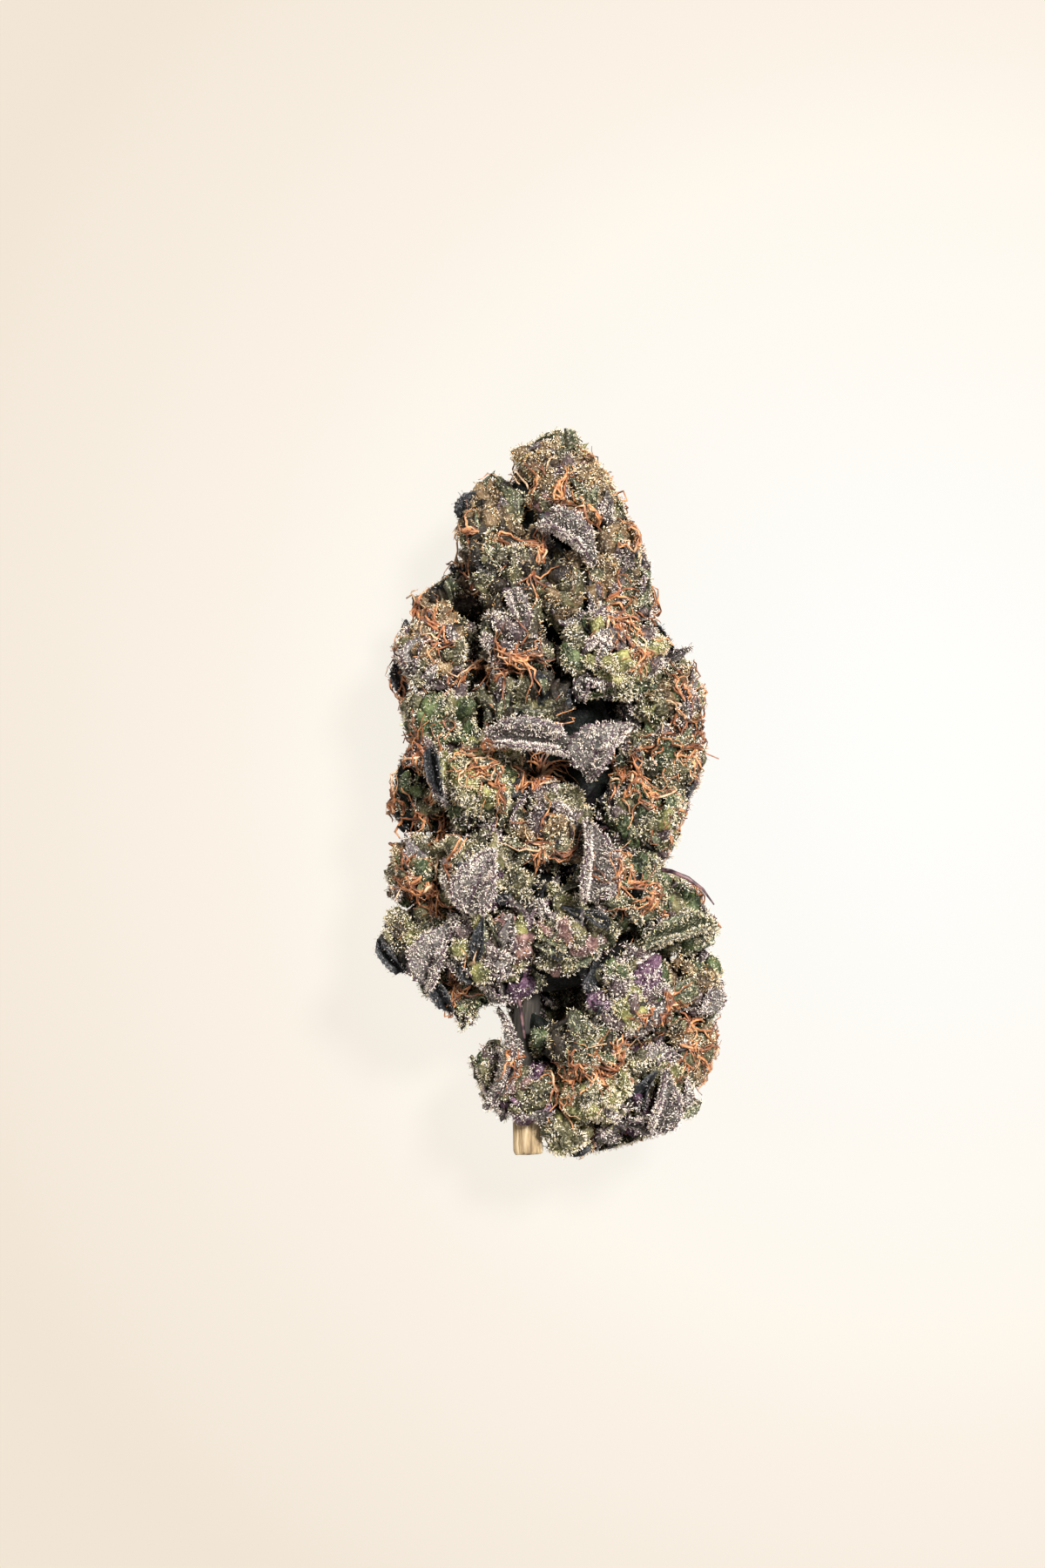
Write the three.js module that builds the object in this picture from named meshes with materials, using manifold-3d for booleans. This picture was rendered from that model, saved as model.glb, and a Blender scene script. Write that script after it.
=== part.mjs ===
// A dried cannabis flower (a trimmed bud), lying on its back on a flat surface.
// One woody stem with side twigs carries floret clusters, small sugar leaves and tufts of pistils.
// Units are millimetres. +Y runs from the cut end of the stem to the tip, +Z is up,
// and the rest surface is the plane z = 0. The origin is under the middle of the bud.
import * as THREE from "three";
import { mergeVertices } from "three/addons/utils/BufferGeometryUtils.js";
import Module from "manifold-3d";

const wasm = await Module();
wasm.setup();

// ---- Driving sizes ----
// The three overall sizes are nominal: the outermost bract tips end within 0.6 mm of them.
const budLength = 55; // cut end of the stem to the tip
const budWidth = 26.4; // across the widest clusters
const budDepth = 21; // rest surface to the top of the highest tuft
const stemRadius = 1.3; // at the cut end
const stemTipRadius = 0.5; // where the stem ends inside the crown
const twigRadius = 0.34; // side twig, where it leaves the stem
const pistilRadius = 0.13; // one dried hair
const leafThickness = 0.4; // blade, frost included
const clearance = 0.3; // free gap between any two pieces
const restLevel = 0.7; // height at which the bracts underneath are pressed flat

// The pieces below are set out on a bud of these sizes, and stretched to the driving ones.
const setOut = { length: 55, width: 26.4, depth: 21 };
const stretch = new THREE.Vector3(
  budWidth / setOut.width,
  budLength / setOut.length,
  budDepth / setOut.depth,
);

// ---- Setting-out ----
// at: x to the right of the mid plane, y from the cut end, z above the rest surface.
// size: half the cluster's extent along x, y and z.
const clusters = [
  { name: "cluster_tip", at: [0.1, 52.8, 11.0], size: [3.2, 2.4, 2.9] },
  { name: "cluster_crown_front", at: [1.3, 49.9, 13.4], size: [3.6, 3.0, 3.6] },
  { name: "cluster_crown_left", at: [-4.2, 47.5, 10.8], size: [3.1, 4.2, 4.2] },
  { name: "cluster_crown_right", at: [3.6, 48.4, 10.2], size: [2.4, 3.8, 4.0] },
  { name: "cluster_upper_front", at: [-2.7, 44.4, 15.2], size: [3.8, 3.6, 3.8], twigged: true },
  { name: "cluster_upper_right", at: [4.4, 45.4, 12.0], size: [3.2, 3.4, 4.2] },
  { name: "cluster_shoulder_right", at: [4.6, 42.0, 14.0], size: [3.6, 3.0, 4.4] },
  { name: "cluster_heart_right", at: [4.0, 38.1, 15.2], size: [4.4, 3.8, 4.8], twigged: true },
  { name: "cluster_heart", at: [-2.6, 39.4, 16.6], size: [2.8, 2.8, 3.0] },
  { name: "cluster_shoulder_left", at: [-6.8, 41.8, 9.0], size: [3.6, 3.0, 4.2], twigged: true },
  { name: "cluster_heart_left", at: [-8.4, 38.0, 12.6], size: [3.6, 3.6, 4.4], twigged: true },
  { name: "cluster_waist_left", at: [-8.2, 33.2, 13.0], size: [3.4, 3.2, 4.4], twigged: true },
  { name: "cluster_waist_front", at: [-2.1, 34.4, 14.4], size: [4.0, 3.6, 4.2], twigged: true },
  { name: "cluster_high_right", at: [8.4, 34.6, 11.6], size: [3.2, 3.4, 4.2], twigged: true },
  { name: "cluster_waist_right", at: [8.2, 29.8, 12.8], size: [3.7, 3.2, 4.4] },
  { name: "cluster_belly_left", at: [-5.4, 28.2, 15.6], size: [4.0, 3.6, 4.4] },
  { name: "cluster_flank_left", at: [-9.4, 27.6, 11.2], size: [2.7, 3.6, 4.2] },
  { name: "cluster_belly_front", at: [-0.5, 24.9, 15.8], size: [3.3, 3.2, 4.0] },
  { name: "cluster_belly_right", at: [6.7, 25.4, 14.4], size: [3.3, 3.6, 4.6], twigged: true },
  { name: "cluster_low_front_left", at: [-5.1, 21.4, 16.4], size: [3.9, 3.4, 4.2] },
  { name: "cluster_low_left", at: [-9.6, 21.2, 12.0], size: [3.0, 3.4, 4.4] },
  { name: "cluster_hem_left", at: [-9.4, 16.6, 12.4], size: [3.6, 3.1, 4.2], twigged: true },
  { name: "cluster_hem_front_left", at: [-4.7, 16.2, 15.8], size: [3.2, 3.4, 4.0] },
  { name: "cluster_foot_left", at: [-7.0, 13.1, 11.8], size: [3.5, 2.4, 4.0] },
  { name: "cluster_low_front", at: [1.2, 17.4, 16.0], size: [4.4, 3.3, 4.2] },
  { name: "cluster_low_front_right", at: [4.9, 20.6, 16.0], size: [3.4, 2.6, 4.0] },
  { name: "cluster_low_right", at: [8.8, 17.6, 11.6], size: [3.6, 3.3, 4.4], twigged: true },
  { name: "cluster_hem_right", at: [9.9, 12.9, 11.6], size: [2.8, 3.2, 4.2] },
  { name: "cluster_hem_front_right", at: [5.3, 12.6, 15.2], size: [3.2, 3.5, 4.2], twigged: true },
  { name: "cluster_foot_front", at: [2.2, 8.6, 14.8], size: [3.2, 2.6, 3.8], twigged: true },
  { name: "cluster_foot_low", at: [3.1, 5.2, 14.0], size: [3.4, 2.4, 3.8] },
  { name: "cluster_foot_right", at: [9.9, 8.0, 11.0], size: [2.6, 3.0, 4.0] },
  { name: "cluster_toe_right", at: [7.5, 5.4, 12.6], size: [3.3, 3.2, 4.0], twigged: true },
  { name: "cluster_toe", at: [4.8, 2.8, 10.2], size: [4.2, 2.0, 3.8] },
  { name: "cluster_button", at: [1.1, 1.8, 12.4], size: [1.7, 1.8, 2.2] },
  { name: "cluster_toe_left", at: [-3.9, 5.6, 11.0], size: [2.2, 2.6, 3.6], twigged: true },
  { name: "cluster_back_crown", at: [0.2, 48.4, 6.4], size: [4.2, 4.4, 4.2] },
  { name: "cluster_back_upper", at: [0.4, 42.4, 4.6], size: [5.8, 4.4, 4.8] },
  { name: "cluster_back_high_left", at: [-5.0, 36.0, 4.6], size: [5.2, 4.8, 5.0] },
  { name: "cluster_back_high_right", at: [5.4, 36.2, 4.6], size: [5.6, 5.0, 5.0] },
  { name: "cluster_back_left", at: [-5.0, 28.2, 4.4], size: [6.0, 5.0, 5.0] },
  { name: "cluster_back_right", at: [5.6, 27.8, 4.4], size: [5.8, 5.2, 5.0] },
  { name: "cluster_back_low_left", at: [-5.2, 19.4, 4.5], size: [6.0, 5.2, 5.0], twigged: true },
  { name: "cluster_back_low_right", at: [5.8, 18.6, 4.4], size: [6.0, 5.2, 5.0] },
  { name: "cluster_back_foot", at: [0.6, 11.6, 4.6], size: [4.6, 4.6, 5.0] },
  { name: "cluster_back_toe", at: [6.2, 7.8, 4.8], size: [5.2, 5.0, 5.2], twigged: true },
];

// from and to: the two ends of the blade. face: the way its upper side looks.
// width: across the blade. lift: how far its middle bows that way, where it isn't leafBow.
const leaves = [
  { name: "leaf_fan", from: [2.2, 28.2, 17.0], to: [6.4, 33.8, 18.8], face: [-0.4, 0.2, 1], width: 3.4 },
  {
    name: "leaf_shelf",
    from: [1.6, 30.4, 17.6],
    to: [-5.0, 31.2, 18.2],
    face: [0, 0.3, 1],
    width: 2.5,
    lift: 0.9,
  },
  {
    name: "leaf_visor",
    from: [-1.0, 47.2, 16.6],
    to: [2.8, 44.8, 17.2],
    face: [0.3, 0.5, 1],
    width: 1.9,
    lift: 0.7,
  },
  { name: "leaf_sword", from: [2.0, 20.2, 18.6], to: [2.5, 25.6, 19.4], face: [0.4, -0.2, 1], width: 3.0 },
  { name: "leaf_shield", from: [-6.6, 18.4, 19.0], to: [-4.2, 24.4, 20.2], face: [-0.1, 0, 1], width: 4.0 },
  {
    name: "leaf_wing_left",
    from: [-9.2, 13.4, 15.2],
    to: [-7.2, 18.2, 17.0],
    face: [-0.5, 0, 1],
    width: 2.8,
  },
  {
    name: "leaf_blade_right",
    from: [7.0, 15.6, 15.0],
    to: [12.4, 17.3, 13.6],
    face: [0.3, 0.5, 1],
    width: 1.5,
  },
  {
    name: "leaf_hook_left",
    from: [-2.2, 11.0, 14.0],
    to: [-4.6, 3.8, 14.0],
    face: [-1, 0.2, 0.5],
    width: 1.9,
    lift: 1.6,
  },
  {
    name: "leaf_tongue_right",
    from: [7.2, 2.0, 15.0],
    to: [8.6, 7.8, 16.6],
    face: [0.3, 0, 1],
    width: 3.2,
  },
];

// root: where the tuft leaves its cluster. heading: the way it grows. reach: length of its hairs.
const tufts = [
  { name: "pistils_crown", root: [2.0, 50.2, 16.2], heading: [0.3, -0.2, 1], reach: 2.6 },
  { name: "pistils_shoulder", root: [5.6, 42.2, 17.4], heading: [0.6, 0.2, 1], reach: 3.0 },
  { name: "pistils_belly", root: [-5.2, 28.0, 19.5], heading: [0.3, -0.2, 1], reach: 3.0 },
  { name: "pistils_foot", root: [3.0, 8.6, 18.0], heading: [0.4, 0.1, 1], reach: 2.8 },
];

// The stem's middle line, from the cut end to where it ends under the tip cluster.
const stemPath = [
  [-1.9, 0.1, 11.6],
  [-2.1, 8, 11.6],
  [-1.6, 18, 11.0],
  [-0.6, 32, 10.6],
  [-0.2, 50.2, 10.8],
];

// ---- Helpers ----
const up = new THREE.Vector3(0, 0, 1);
const place = ([x, y, z]) => new THREE.Vector3(x, y, z).multiply(stretch);

function solidFrom(geometry) {
  geometry.deleteAttribute("normal");
  geometry.deleteAttribute("uv");
  const merged = mergeVertices(geometry, 1e-4);
  return new wasm.Manifold(
    new wasm.Mesh({
      numProp: 3,
      vertProperties: merged.attributes.position.array,
      triVerts: new Uint32Array(merged.index.array),
    }),
  );
}

function geometryFrom(solid) {
  const { numProp, numVert, vertProperties, triVerts } = solid.getMesh();
  const positions = new Float32Array(numVert * 3);
  for (let i = 0; i < numVert; i++)
    positions.set(vertProperties.subarray(i * numProp, i * numProp + 3), i * 3);
  const geometry = new THREE.BufferGeometry();
  geometry.setAttribute("position", new THREE.BufferAttribute(positions, 3));
  geometry.setIndex(new THREE.BufferAttribute(new Uint32Array(triVerts), 1));
  geometry.computeVertexNormals();
  return geometry;
}

// A cut can leave chips beside the piece. The piece is the largest body.
function largestBody(solid) {
  return solid.decompose().reduce((best, body) => (body.volume() > best.volume() ? body : best));
}

const middleOf = (points) =>
  points.reduce((sum, p) => sum.add(p), new THREE.Vector3()).divideScalar(points.length);

// Stacks rings of points along a piece into one closed skin, drawn to a point at each end.
function skin(rings, first = middleOf(rings[0]), last = middleOf(rings.at(-1))) {
  const count = rings[0].length;
  const points = [...rings.flat(), first, last];
  const lastRing = (rings.length - 1) * count;
  const faces = [];
  for (let k = 0; k < count; k++) {
    const next = (k + 1) % count;
    for (let start = 0; start < lastRing; start += count) {
      faces.push(start + k, start + next, start + count + k);
      faces.push(start + next, start + count + next, start + count + k);
    }
    faces.push(points.length - 2, next, k);
    faces.push(points.length - 1, lastRing + k, lastRing + next);
  }
  const geometry = new THREE.BufferGeometry().setFromPoints(points);
  geometry.setIndex(faces);
  return solidFrom(geometry);
}

// A ring of points round a middle. Every other point lies lower by the groove's share.
function ringAround(middle, across, over, radius, sides, groove = 0) {
  return Array.from({ length: sides }, (_, k) => {
    const angle = (2 * Math.PI * k) / sides;
    const reach = k % 2 ? radius * (1 - groove) : radius;
    return middle
      .clone()
      .addScaledVector(across, reach * Math.cos(angle))
      .addScaledVector(over, reach * Math.sin(angle));
  });
}

// A rod along a curve, tapering from one radius to the other.
function rod(curve, startRadius, endRadius, sides, steps, groove = 0) {
  const frames = curve.computeFrenetFrames(steps);
  const rings = frames.normals.map((normal, i) => {
    const radius = THREE.MathUtils.lerp(startRadius, endRadius, i / steps);
    return ringAround(curve.getPointAt(i / steps), normal, frames.binormals[i], radius, sides, groove);
  });
  return skin(rings);
}

// ---- Stem and twigs ----
const stemSides = 12;
const stemSteps = 14;
const stemGroove = 0.12; // depth of the grooves between the stem's ribs, as a share of its radius
const stemCurve = new THREE.CatmullRomCurve3(stemPath.map(place));

// Each cluster's twig leaves the stem a little lower down, and climbs into the cluster.
const twigClimb = 4;
const lowestTwig = 2; // up from the cut end
const twigShare = 0.8; // how much of the way to the cluster's middle the twig reaches

function stemPointBelow(point) {
  const top = stemCurve.points.at(-1).y;
  const foot = THREE.MathUtils.clamp(point.y - twigClimb, lowestTwig, top);
  return stemCurve.getPointAt(foot / top);
}

function twig(cluster, grow) {
  const start = stemPointBelow(cluster.middle);
  const end = start.clone().lerp(cluster.middle, twigShare);
  end.addScaledVector(end.clone().sub(start).normalize(), grow);
  const radius = twigRadius + grow;
  return rod(new THREE.LineCurve3(start, end), radius, radius, 4, 1);
}

function stemSolid(grow) {
  const core = rod(stemCurve, stemRadius + grow, stemTipRadius + grow, stemSides, stemSteps, stemGroove);
  const twigs = clusters.filter(({ twigged }) => twigged).map((cluster) => twig(cluster, grow));
  return wasm.Manifold.union([core, ...twigs]);
}

// ---- Floret clusters ----
const bractDepth = 0.3; // from bract tips down to the valleys, as a share of a cluster's radius
const bractLean = 0.16; // how far bract tips lean the way the cluster grows
const valleyAngle = 0.652; // radians from a bract tip to the valley floor
const goldenAngle = Math.PI * (3 - Math.sqrt(5));

function cornersOf(geometry) {
  const positions = geometry.getAttribute("position");
  return Array.from({ length: positions.count }, (_, i) =>
    new THREE.Vector3().fromBufferAttribute(positions, i).normalize(),
  );
}

const bractTips = cornersOf(new THREE.IcosahedronGeometry(1, 0));

// A ball drawn out into twelve pointed bracts. spin turns them round the way the cluster grows.
function clusterSolid({ radii, middle, axis }, spin) {
  const ball = new THREE.IcosahedronGeometry(1, 2);
  const turn = new THREE.Quaternion().setFromUnitVectors(up, axis);
  turn.multiply(new THREE.Quaternion().setFromAxisAngle(up, spin));
  const points = cornersOf(ball).map((corner) => {
    const toTip = Math.min(...bractTips.map((tip) => tip.angleTo(corner))) / valleyAngle;
    corner.multiplyScalar(1 - bractDepth * toTip).applyQuaternion(turn);
    corner.addScaledVector(axis, bractLean * (1 - toTip) ** 2);
    return corner.multiply(radii).add(middle);
  });
  ball.setFromPoints(points);
  return solidFrom(ball);
}

// A cluster's radius towards a direction.
function radiusTowards({ radii }, direction) {
  return 1 / direction.clone().divide(radii).length();
}

// Where two clusters press together, each is flattened, with the clearance between them.
function flattenAgainst(solid, cluster, other) {
  const direction = other.middle.clone().sub(cluster.middle);
  const distance = direction.length();
  direction.normalize();
  const own = radiusTowards(cluster, direction);
  const theirs = radiusTowards(other, direction);
  if (distance > own + theirs + clearance) return solid;
  const meeting = (distance ** 2 + own ** 2 - theirs ** 2) / (2 * distance);
  const flat = cluster.middle.clone().addScaledVector(direction, meeting - clearance / 2);
  const inward = direction.negate();
  return solid.trimByPlane(inward.toArray(), inward.dot(flat));
}

// ---- Sugar leaves ----
const leafSteps = 8;
const leafBow = 0.5; // how far a blade's middle bows up
const leafFold = 0.28; // how far the edges rise above the midrib, as a share of the half width
const toothDepth = 0.16; // depth of a tooth, as a share of the half width

// The blade's half width from its foot, 0, to its tip, 1, with a toothed edge.
function halfWidthAt(share, width, step) {
  const outline = Math.sin(Math.PI * Math.min(0.97, 0.1 + 0.87 * share) ** 0.8);
  const tooth = step % 2 ? 1 : 1 - toothDepth;
  return (width / 2) * outline * tooth;
}

// One blade, folded along its midrib. grow widens and thickens it all round, for cutting room.
function leafSolid({ from, to, face, width, lift = leafBow }, grow = 0) {
  const start = place(from);
  const end = place(to);
  const along = end.clone().sub(start).normalize();
  start.addScaledVector(along, -grow);
  end.addScaledVector(along, grow);
  const side = along.clone().cross(new THREE.Vector3(...face)).normalize();
  const rise = side.clone().cross(along).normalize();
  const bow = start.clone().lerp(end, 0.5).addScaledVector(rise, 2 * lift);
  const spine = new THREE.QuadraticBezierCurve3(start, bow, end);
  const half = leafThickness / 2 + grow;
  const rings = Array.from({ length: leafSteps + 1 }, (_, step) => {
    const share = step / leafSteps;
    const middle = spine.getPoint(share);
    const normal = side.clone().cross(spine.getTangent(share)).normalize();
    const reach = halfWidthAt(share, width * stretch.x, step) + grow;
    const point = (across, height) =>
      middle.clone().addScaledVector(side, across * reach).addScaledVector(normal, height);
    const edge = leafFold * reach;
    const thin = half * 0.6;
    return [
      point(-1, edge + thin),
      point(0, half),
      point(1, edge + thin),
      point(1, edge - thin),
      point(0, -half),
      point(-1, edge - thin),
    ];
  });
  return skin(rings);
}

// ---- Pistil tufts ----
const hairsPerTuft = 4;

// Curved hairs that fan out of one root and droop over.
function tuftSolid({ root, heading, reach }, grow = 0) {
  const start = place(root);
  const axis = new THREE.Vector3(...heading).normalize();
  const across = axis.clone().cross(up).normalize();
  const over = across.clone().cross(axis);
  const hairs = Array.from({ length: hairsPerTuft }, (_, k) => {
    const angle = k * goldenAngle;
    const lean = across
      .clone()
      .multiplyScalar(Math.cos(angle))
      .addScaledVector(over, Math.sin(angle));
    const middle = start.clone().addScaledVector(axis, 0.6 * reach).addScaledVector(lean, 0.25 * reach);
    const end = start.clone().addScaledVector(axis, 0.55 * reach).addScaledVector(lean, 0.85 * reach);
    const curve = new THREE.QuadraticBezierCurve3(start, middle, end);
    return rod(curve, pistilRadius + grow, pistilRadius * 0.6 + grow, 4, 3);
  });
  return wasm.Manifold.union(hairs);
}

// ---- Build ----
clusters.forEach((cluster) => {
  cluster.middle = place(cluster.at);
  cluster.radii = new THREE.Vector3(...cluster.size).multiply(stretch);
  cluster.axis = cluster.middle.clone().sub(stemPointBelow(cluster.middle)).normalize();
});

const stem = stemSolid(0);
const blades = leaves.map((leaf) => leafSolid(leaf));
const hairs = tufts.map((tuft) => tuftSolid(tuft));
const room = wasm.Manifold.union([
  stemSolid(clearance),
  ...leaves.map((leaf) => leafSolid(leaf, clearance)),
  ...tufts.map((tuft) => tuftSolid(tuft, clearance)),
]);

const florets = clusters.map((cluster, index) => {
  let solid = clusterSolid(cluster, index * goldenAngle);
  for (const other of clusters) if (other !== cluster) solid = flattenAgainst(solid, cluster, other);
  return largestBody(solid.trimByPlane(up.toArray(), restLevel).subtract(room));
});

const group = new THREE.Group();
function addPiece(name, solid, color, roughness) {
  const material = new THREE.MeshStandardMaterial({ color, roughness, metalness: 0 });
  const mesh = new THREE.Mesh(geometryFrom(solid), material);
  mesh.name = name;
  group.add(mesh);
}

addPiece("stem", stem, 0xa98f6c, 0.8);
clusters.forEach(({ name }, i) => addPiece(name, florets[i], 0x7c7a52, 0.85));
leaves.forEach(({ name }, i) => addPiece(name, blades[i], 0x8d8280, 0.8));
tufts.forEach(({ name }, i) => addPiece(name, hairs[i], 0xc17a3c, 0.6));

// The origin goes under the middle of the bud, on the rest surface.
const box = new THREE.Box3().setFromObject(group);
const middle = box.getCenter(new THREE.Vector3());
group.position.set(-middle.x, -middle.y, -box.min.z);

export default group;
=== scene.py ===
import math
import random

import bpy
import numpy as np
from mathutils import Matrix, Vector, noise
from mathutils.bvhtree import BVHTree


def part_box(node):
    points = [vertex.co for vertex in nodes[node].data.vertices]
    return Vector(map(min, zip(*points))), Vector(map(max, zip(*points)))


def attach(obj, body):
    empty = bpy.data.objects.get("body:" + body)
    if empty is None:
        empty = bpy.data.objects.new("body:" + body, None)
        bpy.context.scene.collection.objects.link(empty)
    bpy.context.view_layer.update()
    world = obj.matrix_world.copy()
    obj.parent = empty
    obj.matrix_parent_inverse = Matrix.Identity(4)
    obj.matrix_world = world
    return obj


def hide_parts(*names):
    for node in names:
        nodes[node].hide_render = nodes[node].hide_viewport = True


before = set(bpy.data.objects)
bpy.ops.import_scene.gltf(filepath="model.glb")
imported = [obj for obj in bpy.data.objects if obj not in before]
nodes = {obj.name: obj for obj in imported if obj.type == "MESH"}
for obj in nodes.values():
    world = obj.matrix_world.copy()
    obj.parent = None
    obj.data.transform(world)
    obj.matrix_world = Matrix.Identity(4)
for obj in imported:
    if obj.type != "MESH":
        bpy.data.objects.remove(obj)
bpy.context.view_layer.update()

mm = 0.001
goldenAngle = math.pi * (3 - math.sqrt(5))
clusterNames = sorted(n for n in nodes if n.startswith("cluster_"))
leafNames = sorted(n for n in nodes if n.startswith("leaf_"))


def startClean():
    if bpy.context.object and bpy.context.object.mode != "OBJECT":
        bpy.ops.object.mode_set(mode="OBJECT")
    bpy.ops.object.select_all(action="DESELECT")


def pickOnly(piece):
    startClean()
    piece.select_set(True)
    bpy.context.view_layer.objects.active = piece


def editVertices(piece, test):
    # goes into edit mode with only the vertices that pass the test selected
    pickOnly(piece)
    bpy.ops.object.mode_set(mode="EDIT")
    bpy.ops.mesh.select_mode(type="VERT")
    bpy.ops.mesh.select_all(action="DESELECT")
    bpy.ops.object.mode_set(mode="OBJECT")
    for vertex in piece.data.vertices:
        vertex.select = bool(test(vertex.co))
    bpy.ops.object.mode_set(mode="EDIT")


def moveVertices(piece, test, value):
    editVertices(piece, test)
    bpy.ops.transform.translate(value=value)
    bpy.ops.object.mode_set(mode="OBJECT")


def scaleVertices(piece, test, value):
    editVertices(piece, test)
    bpy.ops.transform.resize(value=value, center_override=(0, 0, 0))
    bpy.ops.object.mode_set(mode="OBJECT")


def roughenVertices(piece, amount, seed):
    editVertices(piece, lambda co: True)
    bpy.ops.transform.vertex_random(offset=amount, seed=seed)
    bpy.ops.object.mode_set(mode="OBJECT")


def applyModifiers(piece):
    pickOnly(piece)
    for modifier in list(piece.modifiers):
        bpy.ops.object.modifier_apply(modifier=modifier.name)


def bakePlace(piece):
    # the place goes into the mesh
    pickOnly(piece)
    bpy.ops.object.transform_apply(location=True, rotation=True, scale=True)


# ---- materials ----
def grey(value):
    return (value, value, value)


def newMaterial(name):
    material = bpy.data.materials.new(name)
    material.use_nodes = True
    tree = material.node_tree
    shader = tree.nodes["Principled BSDF"]
    coords = tree.nodes.new("ShaderNodeTexCoord")
    return material, tree, shader, coords.outputs["Object"]


def addNoise(tree, vector, scale, detail=2.0, roughness=0.5):
    node = tree.nodes.new("ShaderNodeTexNoise")
    node.inputs["Scale"].default_value = scale
    node.inputs["Detail"].default_value = detail
    node.inputs["Roughness"].default_value = roughness
    tree.links.new(vector, node.inputs["Vector"])
    return node.outputs["Fac"]


def addRamp(tree, fac, stops):
    node = tree.nodes.new("ShaderNodeValToRGB")
    ramp = node.color_ramp
    while len(ramp.elements) < len(stops):
        ramp.elements.new(0.5)
    for element, (place, colour) in zip(ramp.elements, stops):
        element.position = place
        element.color = (*colour, 1)
    tree.links.new(fac, node.inputs["Fac"])
    return node.outputs["Color"]


def addMix(tree, fac, first, second, blend="MIX"):
    node = tree.nodes.new("ShaderNodeMix")
    node.data_type = "RGBA"
    node.blend_type = blend
    for socket, value in ((node.inputs[0], fac), (node.inputs[6], first), (node.inputs[7], second)):
        if isinstance(value, bpy.types.NodeSocket):
            tree.links.new(value, socket)
        elif isinstance(value, (int, float)):
            socket.default_value = value
        else:
            socket.default_value = (*value, 1)
    return node.outputs[2]


def addMath(tree, operation, first, second=0.0):
    node = tree.nodes.new("ShaderNodeMath")
    node.operation = operation
    for socket, value in zip(node.inputs, (first, second)):
        if isinstance(value, bpy.types.NodeSocket):
            tree.links.new(value, socket)
        else:
            socket.default_value = value
    return node.outputs[0]


def addBump(tree, shader, height, distance, strength=1.0):
    node = tree.nodes.new("ShaderNodeBump")
    node.inputs["Distance"].default_value = distance
    node.inputs["Strength"].default_value = strength
    tree.links.new(height, node.inputs["Height"])
    tree.links.new(node.outputs["Normal"], shader.inputs["Normal"])


bractLooks = {  # deep tissue, middle tissue, light tissue, the specks on it
    "olive": ((0.005, 0.005, 0.003), (0.045, 0.041, 0.018), (0.16, 0.14, 0.062), (0.46, 0.41, 0.28)),
    "green": ((0.003, 0.006, 0.003), (0.026, 0.040, 0.014), (0.11, 0.14, 0.050), (0.38, 0.40, 0.25)),
    "tan": ((0.010, 0.006, 0.003), (0.085, 0.052, 0.024), (0.27, 0.18, 0.090), (0.58, 0.46, 0.32)),
    "mauve": ((0.008, 0.004, 0.006), (0.048, 0.031, 0.031), (0.15, 0.105, 0.098), (0.44, 0.36, 0.33)),
    # dark and shade are near-black tissue put in the gaps, hearts, core and shaded clusters: painted shade
    "dark": ((0.0008, 0.001, 0.001), (0.002, 0.003, 0.0025), (0.008, 0.010, 0.008), (0.025, 0.027, 0.024)),
    "shade": ((0.002, 0.0015, 0.001), (0.012, 0.009, 0.006), (0.050, 0.038, 0.024), (0.14, 0.115, 0.08)),
    "plum": ((0.008, 0.002, 0.007), (0.052, 0.020, 0.042), (0.15, 0.070, 0.115), (0.50, 0.38, 0.44)),
    "lime": ((0.016, 0.018, 0.005), (0.12, 0.115, 0.036), (0.38, 0.36, 0.13), (0.62, 0.58, 0.32)),
    "pink": ((0.018, 0.008, 0.009), (0.13, 0.064, 0.058), (0.32, 0.19, 0.165), (0.60, 0.44, 0.38)),
}


tissueBuild = {"patches": 900, "purplePatches": 420, "purple": (0.006, 0.001, 0.004), "specks": 5200,
               "bump": 0.12 * mm, "leafPatches": 700, "leafBump": 0.1 * mm}


def addSpecks(tree, shader, place, tissue, speck, stops, gloss):
    # resin specks over the tissue, a little glossier than it is
    speckle = addNoise(tree, place, tissueBuild["specks"], 2.0, 0.7)
    tree.links.new(addMix(tree, addRamp(tree, speckle, stops), tissue, speck), shader.inputs["Base Color"])
    sheen = addRamp(tree, speckle, ((0.3, grey(0.75)), (0.7, grey(gloss))))
    tree.links.new(sheen, shader.inputs["Roughness"])
    return speckle


def makeBractSkin(look):
    spec = tissueBuild
    deep, middle, light, speck = bractLooks[look]
    material, tree, shader, place = newMaterial("bract_" + look)
    patches = addNoise(tree, place, spec["patches"], 3.0)
    tissue = addRamp(tree, patches, ((0.34, deep), (0.52, middle), (0.74, light)))
    purplePatches = addNoise(tree, place, spec["purplePatches"], 2.0)
    purpleFac = addRamp(tree, purplePatches, ((0.56, grey(0)), (0.72, grey(0.6))))
    purple = tuple(0.3 * c + p for c, p in zip(middle, spec["purple"]))
    tissue = addMix(tree, purpleFac, tissue, purple)
    speckle = addSpecks(tree, shader, place, tissue, speck, ((0.52, grey(0)), (0.66, grey(0.5))), 0.35)
    shader.inputs["Specular IOR Level"].default_value = 0.08 if look == "dark" else 0.25
    addBump(tree, shader, speckle, spec["bump"], 0.9)
    return material


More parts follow.
